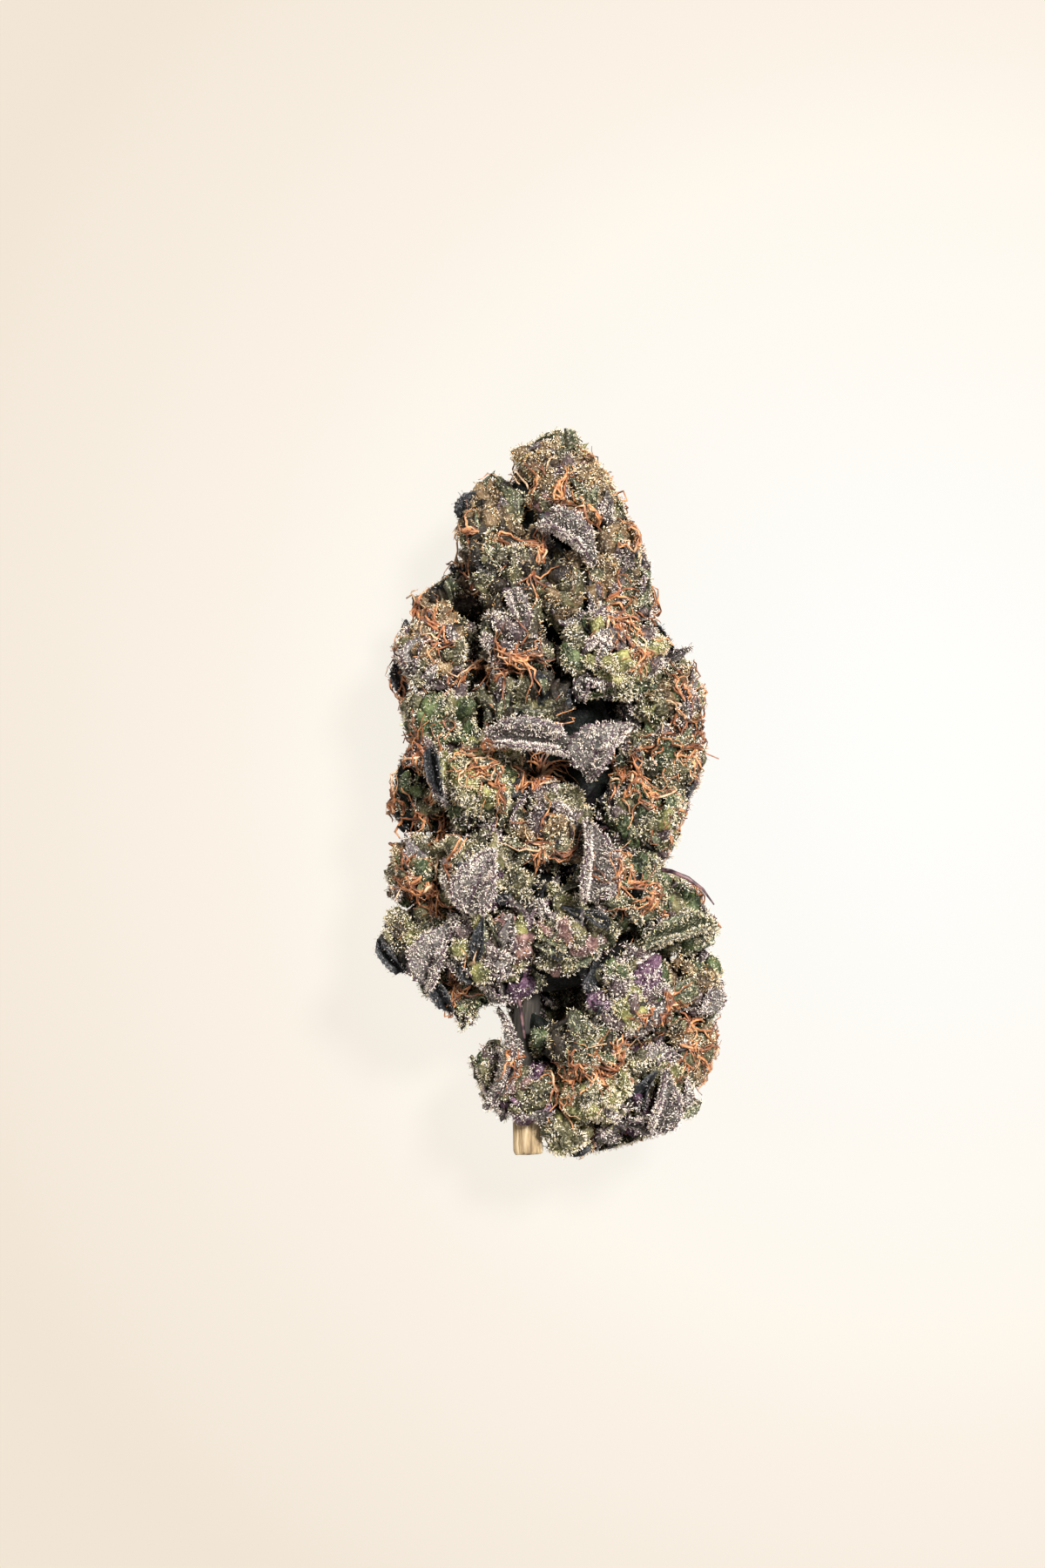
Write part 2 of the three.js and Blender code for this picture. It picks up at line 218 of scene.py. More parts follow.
def makeLeafSkin(name, blade, vein, gland):
    spec = tissueBuild
    material, tree, shader, place = newMaterial(name)
    uv = tree.nodes.new("ShaderNodeUVMap")
    uv.uv_map = "UVMap"
    patches = addNoise(tree, place, spec["leafPatches"], 3.0)
    tissue = addRamp(tree, patches, ((0.35, tuple(0.3 * c for c in blade)), (0.65, blade)))
    split = tree.nodes.new("ShaderNodeSeparateXYZ")
    tree.links.new(uv.outputs["UV"], split.inputs[0])
    away = addMath(tree, "ABSOLUTE", addMath(tree, "SUBTRACT", split.outputs["X"], 0.5))  # from the midrib
    slant = addMath(tree, "SUBTRACT", split.outputs["Y"], addMath(tree, "MULTIPLY", away, 0.7))
    ripple = addMath(tree, "SINE", addMath(tree, "MULTIPLY", slant, 40.0))
    veinFac = addRamp(tree, ripple, ((0.80, grey(0)), (0.97, grey(0.8))))
    ribFac = addRamp(tree, away, ((0.02, grey(1)), (0.06, grey(0))))
    edgeFac = addRamp(tree, away, ((0.42, grey(0)), (0.48, grey(0.8))))
    for fac in (veinFac, ribFac, edgeFac):
        tissue = addMix(tree, fac, tissue, vein)
    speckle = addSpecks(tree, shader, place, tissue, gland, ((0.54, grey(0)), (0.64, grey(0.8))), 0.4)
    addBump(tree, shader, speckle, spec["leafBump"], 0.8)
    return material


def makeHairSkin(name, dark, bright):
    material, tree, shader, place = newMaterial(name)
    along = addNoise(tree, place, 1500, 2.0)
    tree.links.new(addRamp(tree, along, ((0.38, dark), (0.62, bright))), shader.inputs["Base Color"])
    shader.inputs["Roughness"].default_value = 0.5
    return material


stemLook = {  # wood on the bare end, and near-black inside the bud, painted shade where the florets cover it
    "wood": ((0.30, (0.085, 0.050, 0.022)), (0.52, (0.30, 0.215, 0.115)), (0.72, (0.56, 0.46, 0.31))),
    "inside": ((0.30, (0.005, 0.004, 0.003)), (0.55, (0.022, 0.017, 0.012)), (0.75, (0.065, 0.052, 0.038))),
    "grain": 2600, "stretch": 0.12, "rise": 200.0, "start": 5.35, "bump": 0.15 * mm,
}


def makeStemSkin():
    spec = stemLook
    material, tree, shader, place = newMaterial("stem_wood")
    stretchNode = tree.nodes.new("ShaderNodeMapping")
    stretchNode.inputs["Scale"].default_value = (1, spec["stretch"], 1)
    tree.links.new(place, stretchNode.inputs["Vector"])
    grain = addNoise(tree, stretchNode.outputs["Vector"], spec["grain"], 3.0, 0.6)
    wood = addRamp(tree, grain, spec["wood"])
    inside = addRamp(tree, grain, spec["inside"])
    split = tree.nodes.new("ShaderNodeSeparateXYZ")
    tree.links.new(place, split.inputs[0])
    height = addMath(tree, "MULTIPLY", split.outputs["Y"], spec["rise"])
    height = addMath(tree, "ADD", height, spec["start"])  # about 0 where the bare end stops
    # near-black from just above the bare end up: painted shade inside the bud
    paintedShadeFac = addRamp(tree, height, ((0.30, grey(0)), (0.75, grey(1))))
    tree.links.new(addMix(tree, paintedShadeFac, wood, inside), shader.inputs["Base Color"])
    shader.inputs["Roughness"].default_value = 0.8
    addBump(tree, shader, grain, spec["bump"], 1.0)
    return material


frostColours = {  # one plain resin colour each
    "milk": (0.90, 0.82, 0.72),
    "cream": (0.88, 0.74, 0.51),
    "ash": (0.47, 0.41, 0.345),
    "straw": (0.53, 0.43, 0.25),
    "lime": (0.66, 0.63, 0.32),
    "leaf": (0.24, 0.29, 0.13),
    "rose": (0.80, 0.64, 0.59),
    "violet": (0.34, 0.23, 0.29),
    "amber": (0.50, 0.27, 0.10),
    # grey is dim frost for the painted-shade dark tissue
    "grey": (0.25, 0.24, 0.24),
}


def makeFrostSkin(name, colour):
    material, _, shader, _ = newMaterial("frost_" + name)
    shader.inputs["Base Color"].default_value = (*colour, 1)
    shader.inputs["Roughness"].default_value = 0.3
    shader.inputs["Coat Weight"].default_value = 0.3
    return material


bractSkins = {look: makeBractSkin(look) for look in bractLooks}
leafSkins = {
    "silver": makeLeafSkin("leaf_silver", (0.095, 0.086, 0.076), (0.034, 0.008, 0.022), (0.42, 0.37, 0.32)),
    # the dark blade is near-black, painted shade for leaves that lie in shadow
    "dark": makeLeafSkin("leaf_dark", (0.006, 0.008, 0.010), (0.004, 0.002, 0.005), (0.10, 0.10, 0.105)),
    "green": makeLeafSkin("leaf_green", (0.070, 0.085, 0.040), (0.024, 0.018, 0.012), (0.50, 0.47, 0.32)),
}
hairSkins = [
    makeHairSkin("pistil_rust", (0.050, 0.017, 0.008), (0.30, 0.105, 0.042)),
    makeHairSkin("pistil_orange", (0.17, 0.062, 0.024), (0.58, 0.26, 0.110)),
    makeHairSkin("pistil_pale", (0.30, 0.17, 0.09), (0.62, 0.42, 0.26)),
]
frostSkins = {name: makeFrostSkin(name, colour) for name, colour in frostColours.items()}
stemSkin = makeStemSkin()
print("materials made")


# ---- bracts, each kind modelled once ----
bractMaster = {"sides": 7, "rings": 6, "squeezes": ((0.05, 0.92), (0.25, 0.82), (0.40, 0.80)), "bend": 0.13,
               "stretch": 0.02, "keel": 0.05, "slit": 0.09, "rim": 0.36, "lip": 0.05, "mouth": 0.30,
               "rough": 0.045}


def openTip(piece):
    # the faces at the tip are sunk inside a narrow lip
    spec = bractMaster
    pickOnly(piece)
    bpy.ops.object.mode_set(mode="EDIT")
    bpy.ops.mesh.select_mode(type="FACE")
    bpy.ops.mesh.select_all(action="DESELECT")
    bpy.ops.object.mode_set(mode="OBJECT")
    for face in piece.data.polygons:
        face.select = face.center.z > spec["rim"]
    bpy.ops.object.mode_set(mode="EDIT")
    bpy.ops.mesh.inset(thickness=spec["lip"])
    bpy.ops.transform.translate(value=(0, 0, -spec["mouth"]))
    bpy.ops.transform.resize(value=(0.75, 0.75, 0.6))
    bpy.ops.object.mode_set(mode="OBJECT")


def modelBract(name, width, lean, mouth, seed):
    spec = bractMaster
    startClean()
    bpy.ops.mesh.primitive_uv_sphere_add(segments=spec["sides"], ring_count=spec["rings"], radius=0.5)
    piece = bpy.context.object
    piece.name = name
    editVertices(piece, lambda co: True)
    bpy.ops.transform.resize(value=(width, width, 1.0))
    bpy.ops.object.mode_set(mode="OBJECT")
    for above, squeeze in spec["squeezes"]:  # drawn in towards the tip
        scaleVertices(piece, lambda co: co.z > above, (squeeze, squeeze, 1.0))
        moveVertices(piece, lambda co: co.z > above, (lean * spec["bend"], 0, spec["stretch"]))
    # a keel along the back
    moveVertices(piece, lambda co: abs(co.y) < 0.03 and co.x > 0 and co.z > -0.3, (spec["keel"], 0, 0))
    if mouth:
        openTip(piece)
    else:  # slit where the hairs come out
        moveVertices(piece, lambda co: co.x < -0.1 and abs(co.y) < 0.17 and co.z > -0.1, (spec["slit"], 0, 0))
    roughenVertices(piece, spec["rough"], seed)
    pickOnly(piece)
    bpy.ops.object.shade_smooth()
    return piece


bracts = [
    modelBract("bract_plump", 0.74, 0.10, False, 1),
    modelBract("bract_slim", 0.56, 0.30, False, 2),
    modelBract("bract_bent", 0.64, 0.70, False, 3),
    modelBract("bract_open", 0.78, 0.20, True, 4),
]
print("bracts modelled")


# ---- leaves, each kind modelled once ----
leafMaster = {"tooth": 0.20, "tip": 0.04, "sway": 0.015, "folds": (0.08, 0.2, 0.32), "foldRise": 0.11,
              "rough": 0.025, "thickness": 0.05}


def bladeOutline(share, broad):
    # half the width of a blade at a share of its length
    return math.sin(math.pi * (0.08 + 0.90 * share) ** broad)


def modelLeaf(name, across, lengthways, fold, bow, curl, broad, seed):
    spec = leafMaster
    startClean()
    bpy.ops.mesh.primitive_grid_add(x_subdivisions=across, y_subdivisions=lengthways, size=1)
    piece = bpy.context.object
    piece.name = name
    rng = random.Random(seed)
    rows = sorted({round(v.co.y, 5) for v in piece.data.vertices})
    sweep = 0.0
    for i, row in enumerate(rows):  # each row is drawn in to the outline, with a toothed edge
        share = i / (len(rows) - 1)
        half = bladeOutline(share, broad) * (1 - spec["tooth"] * (i % 2)) + spec["tip"]
        sweep += rng.uniform(-spec["sway"], spec["sway"])
        back = -0.3 * curl * max(0.0, share - 0.6)
        rise = bow * math.sin(math.pi * share) - curl * max(0.0, share - 0.55) ** 2 * 4
        scaleVertices(piece, lambda co: abs(co.y - row) < 1e-4, (half, 1, 1))
        moveVertices(piece, lambda co: abs(co.y - row) < 1e-4, (sweep, back, rise))
    for reach in spec["folds"]:  # folded up on both sides of the midrib
        moveVertices(piece, lambda co: abs(co.x) > reach, (0, 0, fold * spec["foldRise"]))
    roughenVertices(piece, spec["rough"], seed)
    solid = piece.modifiers.new("thickness", "SOLIDIFY")
    solid.thickness = spec["thickness"]
    solid.offset = 0
    applyModifiers(piece)
    bpy.ops.object.shade_smooth()
    return piece


leafBlades = [
    modelLeaf("blade_broad", 8, 17, 1.1, 0.12, 0.14, 0.80, 11),
    modelLeaf("blade_folded", 8, 17, 2.0, 0.08, 0.22, 0.85, 12),
    modelLeaf("blade_hooked", 6, 17, 1.2, 0.12, 0.60, 1.0, 13),
]
leaflets = [
    modelLeaf("leaflet_cupped", 4, 7, 1.2, 0.06, 0.15, 0.80, 21),
    modelLeaf("leaflet_curled", 4, 7, 0.6, 0.12, 0.55, 0.90, 22),
    modelLeaf("leaflet_narrow", 4, 9, 1.6, 0.06, 0.30, 1.0, 23),
]
print("leaves modelled")


# ---- one resin gland, modelled once ----
glandMaster = {"length": 1.0, "head": 0.13, "dome": 0.75, "top": 0.9}


def modelGland():
    # a club: a thin foot widening to the head
    spec = glandMaster
    startClean()
    bpy.ops.mesh.primitive_cone_add(vertices=3, radius1=0, radius2=spec["head"], depth=spec["length"],
                                    location=(0, 0, spec["length"] / 2))
    piece = bpy.context.object
    piece.name = "gland"
    bakePlace(piece)
    lean = spec["dome"] - spec["length"]  # the head leans over
    moveVertices(piece, lambda co: co.z > spec["top"] and co.x < 0, (0, 0, lean))
    return piece


gland = modelGland()
print("gland modelled")


# ---- helpers for placing copies ----
def frameFor(direction, spin):
    # turns local +Z to the direction, spun about it
    return direction.to_track_quat("Z", "Y").to_matrix().to_4x4() @ Matrix.Rotation(spin, 4, "Z")


def copyOf(master, matrix, name):
    piece = master.copy()
    piece.data = master.data.copy()
    piece.name = name
    bpy.context.scene.collection.objects.link(piece)
    piece.data.transform(matrix)
    return piece


def joinAll(parts, name):
    startClean()
    for part in parts:
        part.select_set(True)
    bpy.context.view_layer.objects.active = parts[0]
    bpy.ops.object.join()
    piece = bpy.context.object
    piece.name = name
    return piece


def meshArrays(piece):
    mesh = piece.data
    mesh.calc_loop_triangles()
    corners = np.empty(len(mesh.vertices) * 3, np.float32)
    mesh.vertices.foreach_get("co", corners)
    triangles = np.empty(len(mesh.loop_triangles) * 3, np.int32)
    mesh.loop_triangles.foreach_get("vertices", triangles)
    return corners.reshape(-1, 3).astype(float), triangles.reshape(-1, 3)


def treeOf(pieces):
    allCorners, allTriangles, start = [], [], 0
    for piece in pieces:
        corners, triangles = meshArrays(piece)
        allCorners.append(corners)
        allTriangles.append(triangles + start)
        start += len(corners)
    return BVHTree.FromPolygons(np.vstack(allCorners).tolist(), np.vstack(allTriangles).tolist())


# ---- floret clusters ----
clusterLooks = {  # tissue weights, and how thick the frost is; dark and shade tissue and thin frost are painted shade on clusters that lie in shadow
    "cluster_tip": ({"olive": 3, "tan": 5, "green": 1, "lime": 2}, 1.0),
    "cluster_crown_front": ({"tan": 7, "mauve": 1, "olive": 2, "pink": 1}, 1.1),
    "cluster_crown_left": ({"tan": 8, "olive": 1, "shade": 3}, 0.42),
    "cluster_crown_right": ({"tan": 6, "olive": 3, "lime": 1}, 1.0),
    "cluster_upper_front": ({"olive": 5, "mauve": 1, "tan": 3, "shade": 3}, 0.75),
    "cluster_upper_right": ({"tan": 6, "olive": 3, "mauve": 1}, 0.9),
    "cluster_shoulder_right": ({"tan": 5, "olive": 3, "mauve": 2}, 0.9),
    "cluster_heart_right": ({"lime": 3, "olive": 4, "green": 2, "mauve": 1}, 1.1),
    "cluster_heart": ({"mauve": 6, "olive": 2, "shade": 2}, 1.05),
    "cluster_shoulder_left": ({"dark": 3, "tan": 4, "shade": 2, "olive": 1}, 0.4),
    "cluster_heart_left": ({"tan": 4, "mauve": 2, "olive": 4, "shade": 1}, 0.9),
    "cluster_waist_left": ({"olive": 4, "green": 3, "mauve": 2}, 1.0),
    "cluster_waist_front": ({"olive": 4, "shade": 7, "dark": 2}, 0.25),
    "cluster_high_right": ({"green": 2, "tan": 4, "olive": 4, "lime": 1}, 1.0),
    "cluster_waist_right": ({"olive": 5, "green": 2, "mauve": 2, "tan": 2}, 0.95),
    "cluster_belly_left": ({"lime": 4, "green": 2, "olive": 4}, 1.1),
    "cluster_flank_left": ({"dark": 4, "green": 3, "olive": 3}, 0.6),
    "cluster_belly_front": ({"olive": 5, "mauve": 3, "tan": 2}, 1.0),
    "cluster_belly_right": ({"green": 3, "mauve": 3, "olive": 3, "lime": 1}, 0.9),
    "cluster_low_front_left": ({"mauve": 4, "olive": 5, "plum": 1}, 1.1),
    "cluster_low_left": ({"olive": 4, "green": 2, "tan": 3}, 0.9),
    "cluster_hem_left": ({"lime": 4, "olive": 4, "shade": 2}, 0.9),
    "cluster_hem_front_left": ({"mauve": 4, "lime": 2, "olive": 3, "shade": 1}, 1.1),
    "cluster_foot_left": ({"green": 4, "olive": 3, "dark": 2}, 0.8),
    "cluster_low_front": ({"olive": 5, "mauve": 2, "pink": 1, "lime": 2}, 0.9),
    "cluster_low_front_right": ({"green": 5, "olive": 3, "dark": 1}, 0.9),
    "cluster_low_right": ({"green": 5, "olive": 4, "mauve": 1}, 0.9),
    "cluster_hem_right": ({"mauve": 4, "green": 3, "tan": 2}, 0.9),
    "cluster_hem_front_right": ({"mauve": 3, "plum": 2, "olive": 3, "lime": 1, "green": 1}, 1.25),
    "cluster_foot_front": ({"olive": 5, "green": 3, "shade": 2}, 0.75),
    "cluster_foot_low": ({"lime": 9, "olive": 1}, 1.7),
    "cluster_foot_right": ({"olive": 4, "tan": 3, "green": 3}, 0.9),
    "cluster_toe_right": ({"plum": 3, "lime": 3, "olive": 4}, 1.1),
    "cluster_toe": ({"plum": 7, "lime": 2, "olive": 1}, 0.9),
    "cluster_button": ({"olive": 5, "lime": 2}, 1.0),
    "cluster_toe_left": ({"mauve": 3, "plum": 2, "olive": 4, "green": 1}, 1.1),
}
plainLook = ({"olive": 4, "green": 3, "mauve": 2, "tan": 2}, 0.8)
clusterBuild = {
    "spacing": 1.05 * mm, "clear": 0.9 * mm, "heartScale": 0.80, "crumple": 0.8 * mm,
    "length": (1.4 * mm, 2.9 * mm), "width": (0.85, 1.2), "flatten": (0.8, 1.0), "growUp": 0.55,
    "outward": (0.45, 0.25), "spread": 0.35, "seat": (-0.25, 0.35), "standOff": 0.05,
    "leaflets": 0.16, "leafletLength": (1.8 * mm, 3.6 * mm), "leafletWidth": (0.40, 0.62),
    # dark leaflets use the painted-shade leaf skin
    "leafletSkins": {"silver": 4, "green": 5, "dark": 1},
}
hollows = (  # dark gaps between the clusters, where no bracts are placed and the painted-shade heart and core show, in millimetres: x, y, radius
    (-7.4, 14.0, 1.3), (-6.2, 13.2, 1.2), (-2.8, 18.7, 1.0), (-0.6, 17.2, 0.9), (-0.4, 12.2, 1.2),
    (4.6, 7.0, 1.5), (1.5, 0.6, 1.4), (2.3, -14.6, 1.9), (-1.2, -1.2, 0.8), (-6.8, -0.8, 0.7),
    (3.0, 6.4, 1.0), (-2.4, -17.2, 1.8), (0.8, -17.5, 1.4), (1.4, 1.4, 1.7), (-4.8, 17.0, 0.7),
)
leftEdge = (  # how far out the florets reach, in millimetres: height, left
    (27.4, 0.6), (26.0, -3.2), (23.4, -5.6), (20.7, -6.9), (16.7, -7.0), (15.4, -10.0), (10.0, -12.2),
    (5.0, -10.7), (-0.6, -11.9), (-10.0, -12.7), (-12.6, -11.7), (-15.3, -9.4), (-16.8, -6.4),
    (-20.6, -5.7), (-24.6, -3.2), (-27.5, -2.7),
)
rightEdge = (  # height, right
    (27.4, 2.1), (26.0, 2.3), (24.7, 3.9), (22.0, 4.9), (17.5, 7.1), (12.7, 7.9), (8.7, 11.3),
    (2.0, 11.5), (-2.5, 9.4), (-6.0, 8.5), (-7.5, 11.0), (-11.3, 12.6), (-15.3, 13.2), (-20.6, 12.1),
    (-23.3, 10.9), (-26.0, 7.9), (-27.5, 2.3),
)
leftRows, rightRows = np.array(leftEdge)[::-1], np.array(rightEdge)[::-1]
edgeBuild = {"patchScale": 1100, "uneven": 0.9, "give": -0.1 * mm, "squash": 0.35, "lowest": 0.05 * mm}
frontSide = 8 * mm  # hollows are only above this height
seeds = {"florets": 1000, "fillers": 1100, "hairPaths": 300, "hairs": 400, "backPaths": 77,
         "backHairs": 499, "strayHairs": 498, "stalks": 497, "frost": 5000, "fillerFrost": 6000,
         "leafFrost": 7000}
stemAxis = Vector((-0.001, 0.0, 0.0105))  # the middle line of the stem, about
roughness = bpy.data.textures.new("roughness", "CLOUDS")
roughness.noise_scale = 1.1 * mm
roughness.noise_depth = 2


def outwardOf(point):
    out = Vector((point.x - stemAxis.x, 0, point.z - stemAxis.z))
    return out.normalized() if out.length > 1e-6 else Vector((0, 0, 1))


def inHollow(point):
    return point.z > frontSide and any(
        (point.x - x * mm) ** 2 + (point.y - y * mm) ** 2 < (r * mm) ** 2 for x, y, r in hollows)


def trimToOutline(corners):
    # anything past the outline is pressed back towards it
    spec = edgeBuild
    give, squash = spec["give"], spec["squash"]
    uneven = np.array([noise.noise(Vector(c) * spec["patchScale"]) for c in corners]) * spec["uneven"] * mm
    left = np.interp(corners[:, 1] / mm, *leftRows.T) * mm + uneven
    right = np.interp(corners[:, 1] / mm, *rightRows.T) * mm + uneven
    x, y = corners[:, 0], corners[:, 1]
    x = np.where(x < left - give, left - give + (x - left + give) * squash, x)
    corners[:, 0] = np.where(x > right + give, right + give + (x - right - give) * squash, x)
    top, bottom = leftRows[-1, 0] * mm, leftRows[0, 0] * mm
    y = np.where(y > top, top + (y - top) * squash, y)
    corners[:, 1] = np.where(y < bottom, bottom + (y - bottom) * squash, y)
    corners[:, 2] = np.maximum(corners[:, 2], spec["lowest"])
    return corners


def copyNode(name, newName):
    node = nodes[name]
    piece = node.copy()
    piece.data = node.data.copy()
    piece.parent = None
    for key in list(piece.keys()):
        del piece[key]
    piece.name = newName
    bpy.context.scene.collection.objects.link(piece)
    piece.data.materials.clear()
    pickOnly(piece)
    bpy.ops.object.mode_set(mode="EDIT")
    bpy.ops.mesh.select_all(action="SELECT")
    bpy.ops.mesh.remove_doubles(threshold=0.005 * mm)
    bpy.ops.object.mode_set(mode="OBJECT")
    return piece


def makeHeart(name):
    # the tissue inside the cluster that the bracts grow from, coloured with the near-black shade look as
    # painted shade in the gaps between bracts
    piece = copyNode(name, name + "_heart")
    low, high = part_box(name)
    centre = (low + high) / 2
    scale = clusterBuild["heartScale"]
    piece.data.transform(Matrix.Translation(centre) @ Matrix.Scale(scale, 4) @ Matrix.Translation(-centre))
    piece.data.materials.append(bractSkins["shade"])
    return piece, centre, (high - low) / 2


def roundLump(detail, amount, seed):
    startClean()
    bpy.ops.mesh.primitive_ico_sphere_add(subdivisions=detail, radius=1)
    lump = bpy.context.object
    roughenVertices(lump, amount, seed)
    return lump


def makeFillerHeart(name, place, size):
    piece = roundLump(2, 0.08, len(name))
    piece.name = name + "_heart"
    centre, reach = Vector(place) * mm, Vector(size) * mm
    scale = clusterBuild["heartScale"]
    piece.data.transform(Matrix.Translation(centre) @ Matrix.Diagonal((*(reach * scale), 1)))
    # near-black shade look: painted shade in the gaps between bracts
    piece.data.materials.append(bractSkins["shade"])
    return piece, centre, reach


def jitter(rng, amount):
    return Vector([rng.uniform(-amount, amount) for _ in range(3)])


def turnTo(across, along, face):
    return Matrix((across, along, face)).transposed().to_4x4()


def placeBract(hit, normal, ray, tissue, rng):
    spec = clusterBuild
    alongRay, alongNormal = spec["outward"]
    out = alongRay * ray + alongNormal * normal + Vector((0, spec["growUp"], 0))
    out = (out + jitter(rng, spec["spread"])).normalized()
    length = rng.uniform(*spec["length"])
    width = length * rng.uniform(*spec["width"])
    seat = hit + normal * rng.uniform(*spec["seat"]) * mm + out * length * spec["standOff"]
    turn = frameFor(out, rng.uniform(0, 2 * math.pi))
    size = Matrix.Diagonal((width, width * rng.uniform(*spec["flatten"]), length, 1))
    part = copyOf(rng.choice(bracts), Matrix.Translation(seat) @ turn @ size, "bract_copy")
    part.data.materials.append(bractSkins[tissue])
    return part, seat + out * length * 0.5


def placeLeaflet(hit, normal, skin, rng):
    # stands out from the cluster with its upper side turned out
    spec = clusterBuild
    along = (0.55 * normal + Vector((0, 0.55, 0)) + jitter(rng, 0.6)).normalized()
    face = normal - along * normal.dot(along) + jitter(rng, 0.25)
    across = along.cross(face).normalized()
    face = across.cross(along)
    length = rng.uniform(*spec["leafletLength"])
    width = length * rng.uniform(*spec["leafletWidth"])
    size = Matrix.Diagonal((width, length, length * 0.8, 1))
    matrix = Matrix.Translation(hit + along * length * 0.12) @ turnTo(across, along, face) @ size
    part = copyOf(rng.choice(leaflets), matrix, "leaflet_copy")
    part.data.materials.append(leafSkins[skin])
    return part


def roundArea(reach):
    # close to the surface of an ellipsoid with these half-sizes
    power = 1.6
    pairs = (reach.x * reach.y) ** power + (reach.x * reach.z) ** power + (reach.y * reach.z) ** power
    return 4 * math.pi * (pairs / 3) ** (1 / power)


def crumpleUp(piece):
    crumple = piece.modifiers.new("crumple", "DISPLACE")
    crumple.texture = roughness
    crumple.texture_coords = "LOCAL"
    crumple.strength = clusterBuild["crumple"]
    crumple.mid_level = 0.5
    applyModifiers(piece)


def makeCluster(name, seed, heart, centre, reach, weights):
    # bracts and leaflets on rays that are spread evenly round the heart
    spec = clusterBuild
    rng = random.Random(seed)
    ownTree = treeOf([heart])
    outline = treeOf([nodes[name]]) if name in nodes else ownTree
    count = int(roundArea(reach) / spec["spacing"] ** 2)
    skins = spec["leafletSkins"]
    parts = [heart]
    tips = []
    for k in range(count):
        height = 1 - (2 * k + 1) / count
        ring = math.sqrt(1 - height * height)
        ray = Vector((ring * math.cos(k * goldenAngle), height, ring * math.sin(k * goldenAngle)))
        ray = (ray + jitter(rng, 0.2)).normalized()
        hit, normal, _, _ = ownTree.ray_cast(centre, ray)
        if hit is None or inHollow(hit):
            continue
        edge = (outline.ray_cast(centre, ray)[0] or hit) + ray * 0.1 * mm
        if cadTree.ray_cast(edge, ray, spec["clear"])[0] is not None:
            continue  # covered by the next cluster
        if rng.random() < spec["leaflets"]:
            skin = rng.choices(list(skins), list(skins.values()))[0]
            parts.append(placeLeaflet(hit, normal, skin, rng))
            continue
        tissue = rng.choices(list(weights), list(weights.values()))[0]
        part, tip = placeBract(hit, normal, ray, tissue, rng)
        parts.append(part)
        tips.append(tip)
    piece = joinAll(parts, name + "_florets")
    crumpleUp(piece)
    corners = trimToOutline(meshArrays(piece)[0])
    piece.data.vertices.foreach_set("co", corners.ravel())
    piece.data.update()
    return piece, tips


cadTree = treeOf([nodes[n] for n in clusterNames])
florets = {}
bractTips = {}
for index, name in enumerate(clusterNames):
    weights = clusterLooks.get(name, plainLook)[0]
    seed = seeds["florets"] + index
    florets[name], bractTips[name] = makeCluster(name, seed, *makeHeart(name), weights)
    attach(florets[name], "root")
    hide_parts(name)


coreBuild = {"from": -11.0, "to": 21.0, "lumps": 7, "size": (6.0, 4.2, 5.0), "middle": (-0.4, 9.6),
             "taper": 0.55, "rough": 0.09}


def makeCore():
    # a near-black lump round the stem, seen only through the gaps: painted shade for the deep hollows
    spec = coreBuild
    lumps = []
    for i in range(spec["lumps"]):
        share = i / (spec["lumps"] - 1)
        narrow = 1 - (1 - spec["taper"]) * share ** 2
        lump = roundLump(3, spec["rough"], i)
        height = spec["from"] + (spec["to"] - spec["from"]) * share
        place = Vector((spec["middle"][0], height, spec["middle"][1])) * mm
        wide, tall, deep = spec["size"]
        size = Matrix.Diagonal((wide * narrow * mm, tall * mm, deep * narrow * mm, 1))
        lump.data.transform(Matrix.Translation(place) @ size)
        lumps.append(lump)
    core = joinAll(lumps, "core_tissue")
    # near-black dark look: painted shade
    core.data.materials.append(bractSkins["dark"])
    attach(core, "root")
    return core


core = makeCore()
fillers = {  # small clumps between the clusters, in millimetres: middle, half-size, tissue weights; their dark and shade weights are painted shade
    "collar": ((-1.4, -22.7, 12.4), (3.0, 1.5, 2.4), {"plum": 5, "olive": 3, "pink": 1}),
    "collar_left": ((-4.6, -22.4, 10.6), (1.8, 1.5, 2.2), {"mauve": 4, "olive": 3}),
    "rod_top": ((-2.6, -14.4, 13.0), (1.3, 2.0, 1.6), {"plum": 3, "lime": 1, "dark": 5}),
    "rod_right": ((0.2, -19.0, 11.4), (1.2, 2.0, 2.0), {"olive": 3, "dark": 4, "green": 2}),
    "seam": ((1.0, 15.2, 15.2), (1.3, 3.0, 1.9), {"tan": 4, "olive": 3, "shade": 2}),
    "blush": ((-2.7, -10.8, 17.2), (1.4, 1.3, 1.2), {"pink": 8, "lime": 1}),
}
for index, (name, (place, size, weights)) in enumerate(fillers.items()):
    heart = makeFillerHeart(name, place, size)
    florets[name], bractTips[name] = makeCluster(name, seeds["fillers"] + index, *heart, weights)
    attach(florets[name], "root")
print("clusters made:", len(florets), "bracts:", sum(len(t) for t in bractTips.values()),
      "faces:", sum(len(f.data.polygons) for f in florets.values()))


